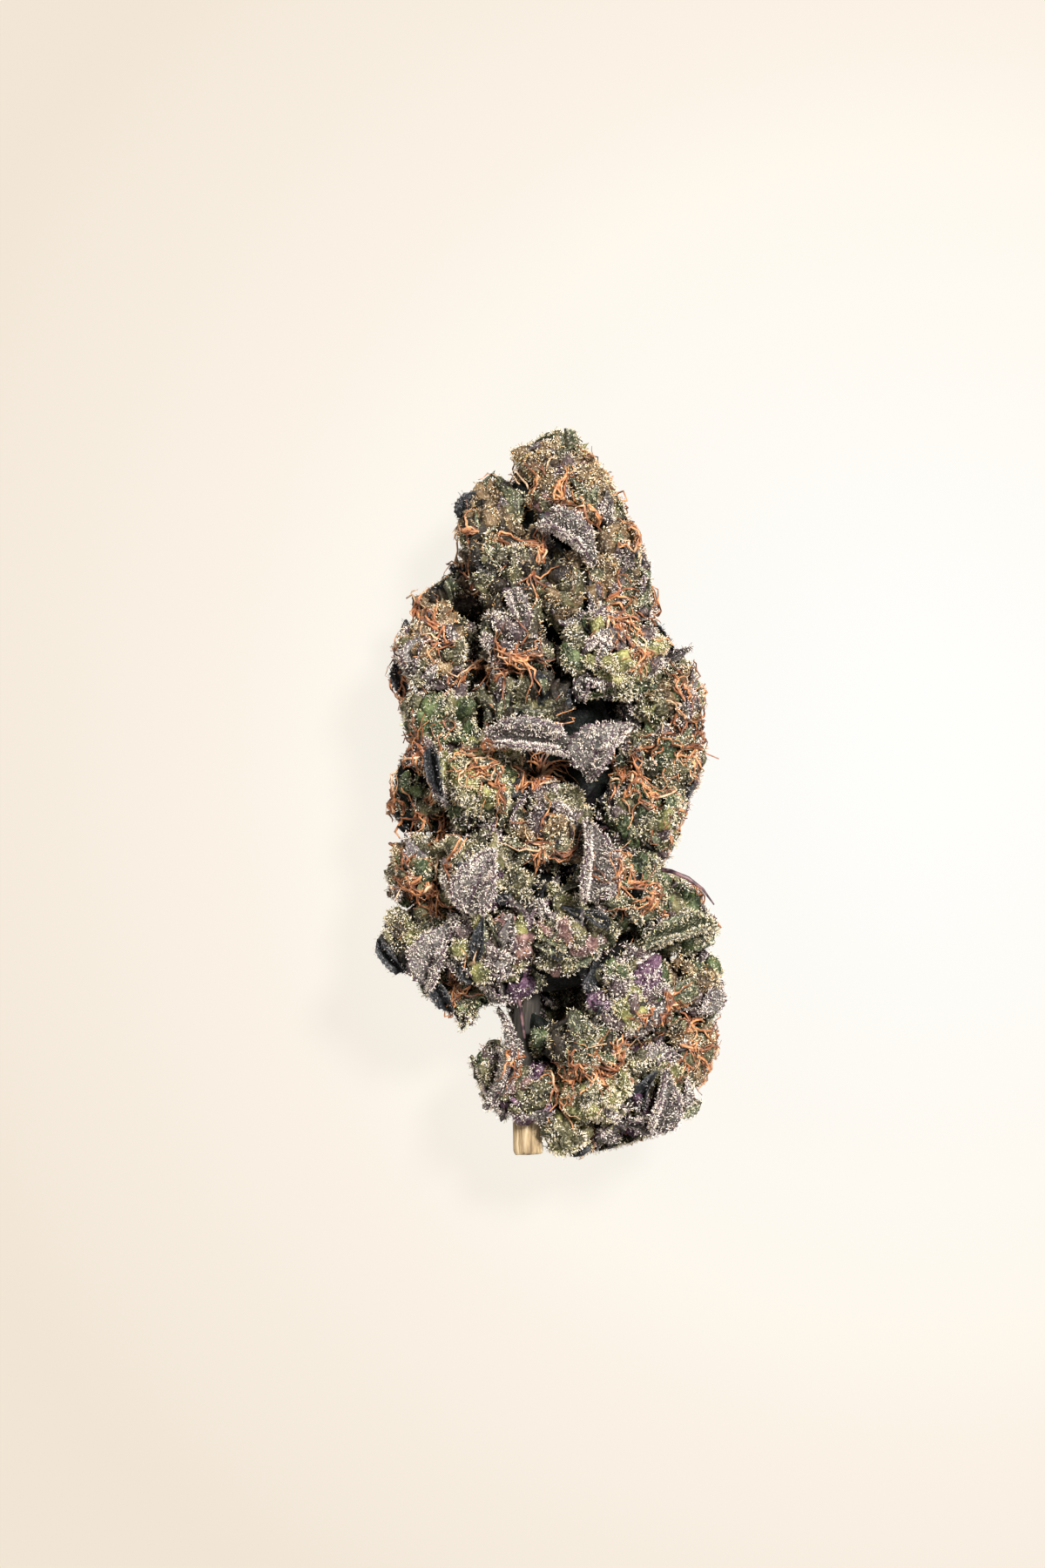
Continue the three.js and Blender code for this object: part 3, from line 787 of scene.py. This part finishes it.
# ---- sugar leaves ----
leafLooks = {  # skin, blade, wider, longer, which way the tip points
    "leaf_fan": ("silver", 0, 1.15, 0.68, (0.6, 0.8)),
    "leaf_shelf": ("silver", 1, 1.0, 1.05, (1, -0.1)),
    "leaf_visor": ("silver", 1, 1.2, 1.08, (0.8, -0.5)),
    "leaf_sword": ("silver", 1, 1.1, 1.05, (0.1, 1)),
    "leaf_shield": ("silver", 0, 0.86, 0.74, (0.3, 1)),
    "leaf_wing_left": ("silver", 0, 1.1, 1.0, (0.3, 1)),
    "leaf_blade_right": ("green", 1, 1.2, 1.08, (1, 0.3)),
    "leaf_hook_left": ("silver", 2, 0.30, 1.0, (0.5, 1)),
    "leaf_tongue_right": ("silver", 0, 0.72, 0.72, (0.4, 1)),
}
heights = {"solid": 0.3, "small": 0.35, "level": 11, "from": 40, "lowest": 6}  # in millimetres


def dropOnto(tree, x, y):
    # straight down at x, y in millimetres
    return tree.ray_cast(Vector((x * mm, y * mm, heights["from"] * mm)), Vector((0, 0, -1)))


def leafPlace(name, pointing):
    # length, width and face directions of the solid blade, and its middle and size
    corners, _ = meshArrays(nodes[name])
    middle = corners.mean(axis=0)
    _, _, axes = np.linalg.svd(corners - middle, full_matrices=False)
    spans = (corners - middle) @ axes.T
    along, face = Vector(axes[0]), Vector(axes[2])
    if along.x * pointing[0] + along.y * pointing[1] < 0:
        along = -along
    if face.dot(outwardOf(Vector(middle))) < 0:
        face = -face
    return Vector(middle), along, along.cross(face), face, (np.ptp(spans[:, 0]), np.ptp(spans[:, 1]))


def makeLeaf(name):
    skin, blade, widen, lengthen, pointing = leafLooks[name]
    middle, along, across, face, (length, width) = leafPlace(name, pointing)
    size = Matrix.Diagonal((width * widen, length * lengthen, length * 0.7, 1))
    matrix = Matrix.Translation(middle + face * heights["solid"] * mm) @ turnTo(across, along, face) @ size
    piece = copyOf(leafBlades[blade], matrix, name + "_blade")
    piece.data.materials.append(leafSkins[skin])
    bladeFrames[name] = matrix.inverted()
    return piece


# the dark skin is the near-black painted-shade blade
smallLeaves = {  # x, y, length, width in millimetres, heading in degrees, tilt up, skin, blade
    "under_shelf": (-1.2, 1.1, 5.2, 1.8, -10, -0.10, "dark", 1),
    "ridge": (1.2, -6.7, 7.0, 1.7, 20, 0.05, "silver", 1),
    "stripe": (-5.2, -10.8, 3.4, 1.1, 82, 0.15, "dark", 0),
    "left_edge": (-11.4, -12.0, 4.0, 1.2, -48, -0.2, "dark", 1),
    "left_lobe": (-11.4, 8.6, 2.8, 1.5, -80, -0.1, "dark", 0),
    "left_top": (-10.8, 12.0, 2.6, 1.6, 100, 0.1, "dark", 0),
    "right_dark": (8.3, 12.0, 4.6, 1.1, -48, 0.1, "dark", 1),
    "right_mauve": (9.4, 10.4, 3.6, 1.1, 25, 0.2, "silver", 1),
    "right_lobe": (12.0, -15.2, 3.2, 2.1, 60, 0.1, "silver", 2),
    "low_tip": (-6.5, -16.8, 2.8, 0.7, -100, -0.2, "green", 1),
    "frond": (0.6, -14.8, 3.4, 1.5, 100, 0.2, "green", 0),
    "crown_dark": (-5.6, 22.0, 2.8, 1.4, 60, 0.3, "dark", 1),
    "heart_leaf": (-2.6, 13.6, 3.2, 1.5, -70, 0.1, "silver", 1),
    "belly_leaf": (-8.4, 1.6, 3.8, 1.3, -80, 0.1, "dark", 1),
    "right_leaf": (9.9, -1.0, 3.4, 1.7, 60, 0.1, "silver", 2),
    "low_leaf": (-8.2, -15.2, 3.4, 1.4, -60, -0.1, "dark", 1),
    "hem_tip": (10.4, -24.0, 3.0, 1.6, 10, -0.1, "green", 2),
    "mid_leaf": (3.2, -9.4, 2.6, 1.1, 150, 0.1, "dark", 1),
    "toe_leaf": (4.2, -24.6, 4.4, 1.3, 8, -0.1, "silver", 1),
    "toe_leaf_right": (8.0, -24.4, 4.6, 1.3, 6, -0.1, "silver", 1),
}


def makeSmallLeaf(name, x, y, length, width, heading, tilt, skin, blade):
    # laid on the florets under it, or level with the stem where there are none
    hit, normal, _, _ = dropOnto(cadTree, x, y)
    if hit is None or hit.z < heights["lowest"] * mm:
        hit, normal = Vector((x * mm, y * mm, heights["level"] * mm)), Vector((0, 0, 1))
    angle = math.radians(heading)
    along = Vector((math.cos(angle), math.sin(angle), tilt)).normalized()
    face = normal + Vector((0, 0, 1))
    across = along.cross(face).normalized()
    face = across.cross(along)
    size = Matrix.Diagonal((width * mm, length * mm, length * 0.6 * mm, 1))
    matrix = Matrix.Translation(hit + face * heights["small"] * mm) @ turnTo(across, along, face) @ size
    piece = copyOf(leafBlades[blade], matrix, "leaf_small_" + name)
    piece.data.materials.append(leafSkins[skin])
    bladeFrames[name] = matrix.inverted()
    return piece


blades = {}
bladeFrames = {}
for name in leafNames:
    blades[name] = makeLeaf(name)
    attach(blades[name], "root")
    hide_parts(name)
for name, spec in smallLeaves.items():
    blades[name] = makeSmallLeaf(name, *spec)
    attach(blades[name], "root")
print("leaves made:", len(blades))


# ---- pistil tufts ----
tuftSpots = {  # x and y in millimetres from the middle of the bud, how many hairs, how wide
    "crown": ((1.6, 22.6, 10, 1.0), (3.0, 21.6, 10, 1.0), (-5.5, 19.2, 8, 1.4), (-1.4, 17.2, 6, 0.7),
              (-4.0, 24.0, 5, 1.2), (4.5, 24.5, 5, 0.8), (-6.0, 15.6, 5, 0.7)),
    "shoulder": ((5.2, 13.2, 12, 1.2), (6.2, 11.6, 12, 1.2), (4.0, 15.0, 5, 1.0), (6.8, 18.0, 5, 0.8)),
    "left": ((-7.9, 11.6, 12, 1.2), (-6.4, 10.4, 10, 1.0), (-4.6, 9.6, 18, 1.2), (-2.2, 9.8, 14, 0.9),
             (-9.8, 3.6, 12, 1.0), (-10.4, 9.0, 6, 1.0)),
    "waist": ((-5.4, 3.0, 22, 1.2), (-2.4, 0.4, 20, 1.2), (-0.6, 0.9, 12, 0.8), (-9.4, -1.6, 14, 0.9),
              (-11.4, -1.2, 10, 0.7), (-8.2, -3.5, 14, 1.1), (5.6, 1.6, 22, 1.2), (8.2, -0.3, 14, 1.0),
              (10.2, 5.8, 12, 1.1), (11.2, 3.2, 12, 0.9)),
    "belly": ((-0.4, -4.8, 18, 1.2), (-10.2, -6.6, 24, 1.4), (-8.4, -8.2, 14, 1.2), (5.6, -6.9, 24, 1.4),
              (7.6, -7.6, 10, 1.0), (-6.0, -3.0, 8, 0.9)),
    "foot": ((8.6, -15.6, 18, 1.0), (5.2, -18.8, 18, 1.3), (2.8, -20.9, 24, 1.3), (10.8, -19.6, 20, 1.2),
             (-7.8, -14.4, 14, 1.2), (-2.4, -19.4, 10, 0.6), (9.6, -12.6, 10, 1.0), (0.8, -22.2, 8, 0.8)),
}
tuftBuild = {
    "steps": (5, 9), "stride": (0.34 * mm, 0.52 * mm), "thick": (0.05 * mm, 0.14 * mm), "taper": 0.80,
    "lift": 0.26 * mm, "root": -0.15 * mm, "lowest": 0.2 * mm, "turn": 0.45, "wriggle": 0.25,
    "turnBack": 0.22, "hug": 0.85, "perClump": 11, "clump": 0.45, "skins": (6, 5, 1),
    "backHidden": 0.05, "backAny": 0.012, "backCount": (4, 9), "backClump": 0.7,
}


def drapeHair(start, heading, rng):
    # one shrivelled hair, laid over the florets step by step
    spec = tuftBuild
    stride = rng.uniform(*spec["stride"])
    steps = rng.randint(*spec["steps"])
    swing = rng.uniform(-1, 1) * spec["turn"]
    path = []
    place = start
    for i in range(steps + 1):
        near, normal, _, _ = floretTree.find_nearest(place)
        if near is None:
            break
        if (place - near).dot(normal) < 0 and i:
            normal = outwardOf(near)
        share = i / steps
        lift = spec["root"]
        if i:
            lift = spec["lift"] * (rng.uniform(0.2, 1.4) + 1.2 * share * rng.random())
        point = near + normal * lift
        point.z = max(point.z, spec["lowest"])
        path.append(point)
        heading = heading - normal * heading.dot(normal) * spec["hug"]
        turn = swing + rng.uniform(-spec["wriggle"], spec["wriggle"])
        heading.rotate(Matrix.Rotation(turn, 3, normal))
        if rng.random() < spec["turnBack"]:
            swing = -swing
        heading = heading.normalized() if heading.length > 1e-6 else Vector((0, 1, 0))
        place = point + heading * stride
    return path


def makeHairs(name, strands, seed, fixed=None):
    # every strand is a line of points with a round section, turned into a mesh
    rng = random.Random(seed)
    curve = bpy.data.curves.new(name, "CURVE")
    curve.dimensions = "3D"
    curve.bevel_depth = 1.0
    curve.bevel_resolution = 0
    curve.use_fill_caps = True
    for material in hairSkins:
        curve.materials.append(material)
    for path in strands:
        spline = curve.splines.new("POLY")
        spline.points.add(len(path) - 1)
        thick = fixed or rng.uniform(*tuftBuild["thick"])
        for i, (point, place) in enumerate(zip(spline.points, path)):
            point.co = (*place, 1)
            narrow = 1 - tuftBuild["taper"] * (i / len(path)) ** 1.3
            point.radius = thick * narrow * rng.uniform(0.8, 1.2)
            point.tilt = 0.6 * i
        spline.material_index = rng.choices((0, 1, 2), tuftBuild["skins"])[0]
    piece = bpy.data.objects.new(name, curve)
    bpy.context.scene.collection.objects.link(piece)
    pickOnly(piece)
    bpy.ops.object.convert(target="MESH")
    piece = bpy.context.object
    bpy.ops.object.shade_smooth()
    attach(piece, "root")
    return piece


def clumpAt(start, normal, count, spread, rng):
    strands = []
    side = jitter(rng, 1.0)
    main = (side - normal * side.dot(normal)).normalized()
    for _ in range(count):
        foot = start + jitter(rng, spread * mm * 0.5)
        heading = (main + jitter(rng, 0.55)).normalized()
        path = drapeHair(foot, heading, rng)
        if len(path) > 3:
            strands.append(path)
    return strands


def tuftStrands(spots, seed):
    rng = random.Random(seed)
    strands = []
    for x, y, count, spread in spots:
        while count > 0:
            px, py = x + rng.gauss(0, spread * 0.55), y + rng.gauss(0, spread * 0.55)
            hit, normal, _, _ = dropOnto(floretTree, px, py)
            count -= 5  # a clump stands for about five of the hairs asked for
            if hit is None or hit.z < heights["lowest"] * mm:
                continue
            strands += clumpAt(hit, normal, tuftBuild["perClump"], tuftBuild["clump"], rng)
    return strands


floretTree = treeOf(list(florets.values()) + list(blades.values()) + [core])
tufts = {}
for index, (place, spots) in enumerate(tuftSpots.items()):
    strands = tuftStrands(spots, seeds["hairPaths"] + index)
    tufts[place] = makeHairs("hairs_" + place, strands, seeds["hairs"] + index)


def strandsRoundTheBack():
    spec = tuftBuild
    rng = random.Random(seeds["backPaths"])
    strands = []
    for name in clusterNames:
        for tip in bractTips[name]:
            hidden = outwardOf(tip).z < 0.2
            if (hidden and rng.random() < spec["backHidden"]) or rng.random() < spec["backAny"]:
                near, normal, _, _ = floretTree.find_nearest(tip)
                strands += clumpAt(near, normal, rng.randint(*spec["backCount"]), spec["backClump"], rng)
    return strands


def inMillimetres(paths):
    return [[Vector(p) * mm for p in path] for path in paths]


tufts["back"] = makeHairs("hairs_back", strandsRoundTheBack(), seeds["backHairs"])
strayHairs = (  # single strands that stand clear of the outline, in millimetres
    ((10.6, 3.4, 14.0), (11.6, 3.1, 14.2), (12.8, 2.6, 14.2)),
    ((11.0, -9.0, 13.5), (12.4, -9.4, 14.0), (13.0, -10.2, 13.6)),
    ((-5.6, 20.4, 12.0), (-6.2, 21.6, 12.2), (-6.4, 22.4, 12.0)),
    ((-8.2, 12.8, 13.0), (-7.6, 13.6, 13.6), (-7.0, 12.9, 14.2)),
    ((-11.6, -10.6, 13.0), (-12.6, -11.0, 13.2), (-12.8, -11.8, 13.2)),
    ((9.6, 8.4, 13.5), (10.8, 8.0, 14.0), (11.4, 6.8, 14.2)),
    ((-12.0, -1.6, 12.0), (-12.4, -0.8, 12.6), (-11.6, -0.4, 13.0)),
    ((11.8, -19.0, 12.0), (12.4, -18.0, 12.6), (12.7, -17.4, 12.2)),
    ((4.6, 22.6, 12.0), (5.6, 23.0, 12.4), (5.9, 22.2, 12.8)),
)
tufts["stray"] = makeHairs("hairs_stray", inMillimetres(strayHairs), seeds["strayHairs"])
stalks = (  # bare purple leaf stalks
    ((8.0, -5.7, 14.5), (9.2, -5.9, 15.6), (10.4, -6.4, 16.0), (11.5, -7.2, 15.6), (12.4, -8.4, 14.6)),
    ((-2.9, -12.6, 14.5), (-2.6, -14.4, 14.6), (-2.2, -16.4, 14.0), (-1.9, -18.6, 13.2)),
)
stalkSkin = makeHairSkin("stalk_purple", (0.020, 0.008, 0.014), (0.16, 0.085, 0.090))
tufts["stalks"] = makeHairs("leaf_stalks", inMillimetres(stalks), seeds["stalks"], 0.20 * mm)
tufts["stalks"].data.materials.clear()
tufts["stalks"].data.materials.append(stalkSkin)
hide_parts("pistils_crown")
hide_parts("pistils_shoulder")
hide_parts("pistils_belly")
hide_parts("pistils_foot")
print("tufts made:", {k: len(t.data.polygons) for k, t in tufts.items()})


# ---- stem ----
stemBuild = {"voxel": 0.20 * mm}


def makeStem():
    piece = copyNode("stem", "stem_wood")
    remesh = piece.modifiers.new("even", "REMESH")
    remesh.mode = "VOXEL"
    remesh.voxel_size = stemBuild["voxel"]
    applyModifiers(piece)
    bpy.ops.object.shade_smooth()
    piece.data.materials.append(stemSkin)
    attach(piece, "root")
    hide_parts("stem")
    return piece


stem = makeStem()
print("stem made:", len(stem.data.polygons), "faces")


# ---- frost of resin glands ----
frostBuild = {
    "perSquareMm": 56, "length": (0.20, 0.42), "fat": (0.60, 1.15), "tilt": 0.60, "openFor": 1.0 * mm,
    "even": 0.44, "patchy": 1.6, "patchScale": 1000, "lowest": 0.2 * mm, "sink": 0.03, "rayLift": 0.04,
    "leafPatchy": 0.7, "leafShorter": 0.9, "onVeins": 0.07, "fillers": 0.45, "blades": 1.5,
}
veins = {"broad": 0.8, "margin": 0.04, "rim": 0.38, "midrib": 0.10, "number": 27, "slant": 0.9, "width": 0.25}
frostOn = {  # how the frost looks on each tissue; the dim grey frost and thin cover on bract_dark, bract_shade and leaf_dark belong to their painted shade
    "bract_olive": ({"milk": 4, "cream": 4, "straw": 3, "ash": 2, "lime": 1}, 1.0),
    "bract_green": ({"milk": 3, "cream": 2, "straw": 3, "ash": 2, "lime": 1, "leaf": 2}, 0.85),
    "bract_tan": ({"milk": 1, "cream": 6, "straw": 3, "amber": 5}, 1.0),
    "bract_mauve": ({"milk": 5, "rose": 2, "cream": 1, "ash": 4, "violet": 1}, 1.1),
    "bract_dark": ({"grey": 4, "ash": 1}, 0.15),
    "bract_shade": ({"straw": 3, "ash": 2, "amber": 1}, 0.4),
    "bract_plum": ({"milk": 6, "rose": 3, "violet": 2}, 0.95),
    "bract_lime": ({"milk": 4, "cream": 5, "straw": 3, "lime": 2}, 1.25),
    "bract_pink": ({"rose": 6, "milk": 2, "amber": 2, "ash": 1}, 0.8),
    "leaf_silver": ({"milk": 7, "rose": 4, "cream": 1, "ash": 1, "violet": 1}, 1.3),
    "leaf_green": ({"milk": 3, "cream": 4, "straw": 3, "lime": 1}, 1.0),
    "leaf_dark": ({"grey": 5, "ash": 2}, 0.4),
}
frostOrder = list(frostColours)


def bladeBare(point, inverse):
    # the midrib and side veins of a leaf stay dark
    spec = veins
    local = inverse @ point
    share = min(1.0, max(0.0, local.y + 0.5))
    half = bladeOutline(share, spec["broad"]) + spec["margin"]
    away = abs(local.x) / half
    if away > spec["rim"]:
        return False
    return away < spec["midrib"] or math.sin(spec["number"] * (share - spec["slant"] * away)) > spec["width"]


def scatterPlaces(piece, shares, thickness, draw):
    # places all over the piece, each with its normal and material slot
    corners, triangles = meshArrays(piece)
    slots = np.empty(len(piece.data.loop_triangles), np.int32)
    piece.data.loop_triangles.foreach_get("material_index", slots)
    a, b, c = (corners[triangles[:, k]] for k in range(3))
    cross = np.cross(b - a, c - a)
    size = np.linalg.norm(cross, axis=1)
    area = size / 2 * np.array(shares)[slots]
    count = int(area.sum() / mm ** 2 * frostBuild["perSquareMm"] * thickness)
    picked = draw.choice(len(area), count, p=area / area.sum())
    u, v = draw.random(count), draw.random(count)
    over = u + v > 1
    u[over], v[over] = 1 - u[over], 1 - v[over]
    points = a[picked] + (b - a)[picked] * u[:, None] + (c - a)[picked] * v[:, None]
    normals = cross[picked] / np.maximum(size[picked], 1e-12)[:, None]
    return points, normals, slots[picked]


def whereItGrows(points, normals, heading, luck, inverse):
    # in patches, off the veins of a leaf and not where the next floret lies close
    spec = frostBuild
    patchy = spec["leafPatchy"] if inverse else spec["patchy"]
    keep = []
    for i in range(len(points)):
        point, normal = Vector(points[i]), Vector(normals[i])
        patch = spec["even"] + patchy * noise.noise(point * spec["patchScale"])
        grows = luck[i] < patch and point.z > spec["lowest"]
        if grows and inverse and luck[i] > spec["onVeins"]:
            grows = not bladeBare(point, inverse)
        look = (normal + Vector(heading[i])) * 0.5
        start = point + normal * spec["rayLift"] * mm
        keep.append(grows and frostTree.ray_cast(start, look, spec["openFor"])[0] is None)
    return np.array(keep)


def standGlands(points, normals, heading, shorter, draw):
    # a gland at each place, all in one go
    spec = frostBuild
    count = len(points)
    side = np.cross(heading, draw.normal(0, 1, (count, 3)))
    side /= np.linalg.norm(side, axis=1)[:, None]
    other = np.cross(heading, side)
    length = draw.uniform(*spec["length"], count) * mm * shorter
    fat = length * draw.uniform(*spec["fat"], count)
    base = points - normals * spec["sink"] * mm
    shape = np.array([v.co[:] for v in gland.data.vertices])
    faces = np.array([f.vertices[:] for f in gland.data.polygons])
    placed = (base[:, None] + side[:, None] * shape[None, :, 0:1] * fat[:, None, None]
              + other[:, None] * shape[None, :, 1:2] * fat[:, None, None]
              + heading[:, None] * shape[None, :, 2:3] * length[:, None, None])
    placed = placed.reshape(-1, 3)
    placed[:, 2] = np.maximum(placed[:, 2], 0.0)
    starts = np.arange(count)[:, None, None] * len(shape)
    return placed, (faces[None] + starts).reshape(-1, 3)


def chooseColours(looks, slots, draw):
    chosen = np.zeros(len(slots), np.int32)
    for slot, (weights, _) in enumerate(looks):
        here = slots == slot
        chances = np.array([weights.get(n, 0) for n in frostOrder], float)
        chosen[here] = draw.choice(len(frostOrder), here.sum(), p=chances / chances.sum())
    return np.repeat(chosen, len(gland.data.polygons))


def frostPiece(name, corners, triangles, colours):
    mesh = bpy.data.meshes.new(name)
    mesh.vertices.add(len(corners))
    mesh.vertices.foreach_set("co", corners.ravel())
    mesh.loops.add(len(triangles) * 3)
    mesh.loops.foreach_set("vertex_index", triangles.ravel())
    mesh.polygons.add(len(triangles))
    mesh.polygons.foreach_set("loop_start", np.arange(len(triangles)) * 3)
    for n in frostOrder:
        mesh.materials.append(frostSkins[n])
    mesh.polygons.foreach_set("material_index", colours)
    mesh.update(calc_edges=True)
    frost = bpy.data.objects.new(name, mesh)
    bpy.context.scene.collection.objects.link(frost)
    return frost


def makeFrost(name, piece, thickness, seed, inverse=None):
    spec = frostBuild
    draw = np.random.default_rng(seed)
    looks = [frostOn[m.name] for m in piece.data.materials]
    points, normals, slots = scatterPlaces(piece, [look[1] for look in looks], thickness, draw)
    heading = normals + draw.normal(0, spec["tilt"], (len(points), 3))
    heading /= np.linalg.norm(heading, axis=1)[:, None]
    keep = whereItGrows(points, normals, heading, draw.random(len(points)), inverse)
    shorter = spec["leafShorter"] if inverse else 1.0
    corners, triangles = standGlands(points[keep], normals[keep], heading[keep], shorter, draw)
    frost = frostPiece(name, corners, triangles, chooseColours(looks, slots[keep], draw))
    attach(frost, "root")
    return frost, int(keep.sum())


def shownTriangles():
    shown = [o for o in bpy.data.objects if o.type == "MESH" and not o.get("part_node")]
    return sum(len(f.vertices) - 2 for o in shown for f in o.data.polygons)


frostTree = treeOf(list(florets.values()) + list(blades.values()) + [core])
glandCount = 0
for index, name in enumerate(clusterNames):
    thickness = clusterLooks.get(name, plainLook)[1]
    newName = "frost_" + name.removeprefix("cluster_")
    frost, count = makeFrost(newName, florets[name], thickness, seeds["frost"] + index)
    glandCount += count
for index, name in enumerate(fillers):
    seed = seeds["fillerFrost"] + index
    frost, count = makeFrost("frost_" + name, florets[name], frostBuild["fillers"], seed)
    glandCount += count
for index, name in enumerate(blades):
    seed = seeds["leafFrost"] + index
    frost, count = makeFrost("frost_" + name, blades[name], frostBuild["blades"], seed, bladeFrames[name])
    glandCount += count
print("glands:", glandCount, "triangles:", shownTriangles())

for master in bracts + leafBlades + leaflets + [gland]:
    bpy.data.objects.remove(master)


# ---- floor, light and camera ----
studio = {
    "frameHeight": 0.120, "lens": 100, "sensor": 36, "centre": (-0.00207, 0.0007, 0.0105), "world": 0.04,
    # dark paper under a glow that is brightest at glowMiddle: a painted pool of light on the floor
    "clip": (0.01, 40), "paper": (0.032, 0.032, 0.031), "floor": 20, "farEdge": 2.5, "glowStrength": 0.895,
    "glowMiddle": (-0.03, -0.004, 0), "glowReach": 10.0,
    "glow": ((0.06, (1.0, 1.0, 0.98)), (0.45, (1.0, 0.945, 0.855)), (0.56, (0.975, 0.885, 0.785)),
             (0.85, (0.88, 0.78, 0.65))),
}
lights = {  # place, size, power, colour
    "key": ((0.26, 0.28, 0.74), 0.16, 17.0, (1.0, 0.98, 0.95)),
    "fill": ((-0.5, 0.1, 0.6), 0.4, 2.4, (1.0, 0.97, 0.94)),
    "low": ((0.1, -0.6, 0.5), 0.3, 2.6, (1.0, 0.98, 0.96)),
}


def makeFloorSkin():
    # paper that glows, brightest beside the bud and dimmer further out: a painted pool of light, and the glow
    # over dark paper keeps the bud's shadow faint
    material, tree, shader, place = newMaterial("floor_paper")
    shift = tree.nodes.new("ShaderNodeMapping")
    shift.inputs["Location"].default_value = studio["glowMiddle"]
    tree.links.new(place, shift.inputs["Vector"])
    length = tree.nodes.new("ShaderNodeVectorMath")
    length.operation = "LENGTH"
    tree.links.new(shift.outputs["Vector"], length.inputs[0])
    reach = addMath(tree, "MULTIPLY", length.outputs["Value"], studio["glowReach"])
    glow = addRamp(tree, reach, studio["glow"])
    tree.links.new(glow, shader.inputs["Emission Color"])
    shader.inputs["Emission Strength"].default_value = studio["glowStrength"]
    shader.inputs["Base Color"].default_value = (*studio["paper"], 1)
    shader.inputs["Roughness"].default_value = 0.9
    shader.inputs["Specular IOR Level"].default_value = 0.1
    return material


def makeFloor():
    startClean()
    bpy.ops.mesh.primitive_plane_add(size=studio["floor"])
    floor = bpy.context.object
    floor.name = "floor"
    bpy.ops.object.mode_set(mode="EDIT")  # its edges are turned up, behind all but the top of a low view
    bpy.ops.mesh.select_all(action="SELECT")
    bpy.ops.mesh.extrude_edges_move(TRANSFORM_OT_translate={"value": (0, 0, studio["farEdge"])})
    bpy.ops.object.mode_set(mode="OBJECT")
    floor.data.materials.append(makeFloorSkin())


def addSoftLight(name, place, size, power, colour):
    light = bpy.data.lights.new(name, "AREA")
    light.shape = "DISK"
    light.size = size
    light.energy = power
    light.color = colour
    lamp = bpy.data.objects.new(name, light)
    lamp.location = place
    lamp.rotation_mode = "QUATERNION"
    lamp.rotation_quaternion = (Vector((0, 0, 0)) - Vector(place)).to_track_quat("-Z", "Y")
    bpy.context.scene.collection.objects.link(lamp)


makeFloor()
for name, spec in lights.items():
    addSoftLight(name, *spec)
world = bpy.data.worlds.new("studio")
bpy.context.scene.world = world
world.use_nodes = True
world.node_tree.nodes["Background"].inputs["Color"].default_value = (1.0, 0.97, 0.93, 1)
world.node_tree.nodes["Background"].inputs["Strength"].default_value = studio["world"]
bpy.context.scene.view_settings.view_transform = "Standard"

cameraData = bpy.data.cameras.new("camera")
cameraData.lens = studio["lens"]
cameraData.sensor_width = studio["sensor"]
cameraData.clip_start, cameraData.clip_end = studio["clip"]
camera = bpy.data.objects.new("camera", cameraData)
bpy.context.scene.collection.objects.link(camera)
centre = Vector(studio["centre"])
distance = studio["frameHeight"] * studio["lens"] / cameraData.sensor_width
camera.location = centre + Vector((0, 0, distance))
bpy.context.scene.camera = camera
print("studio set")
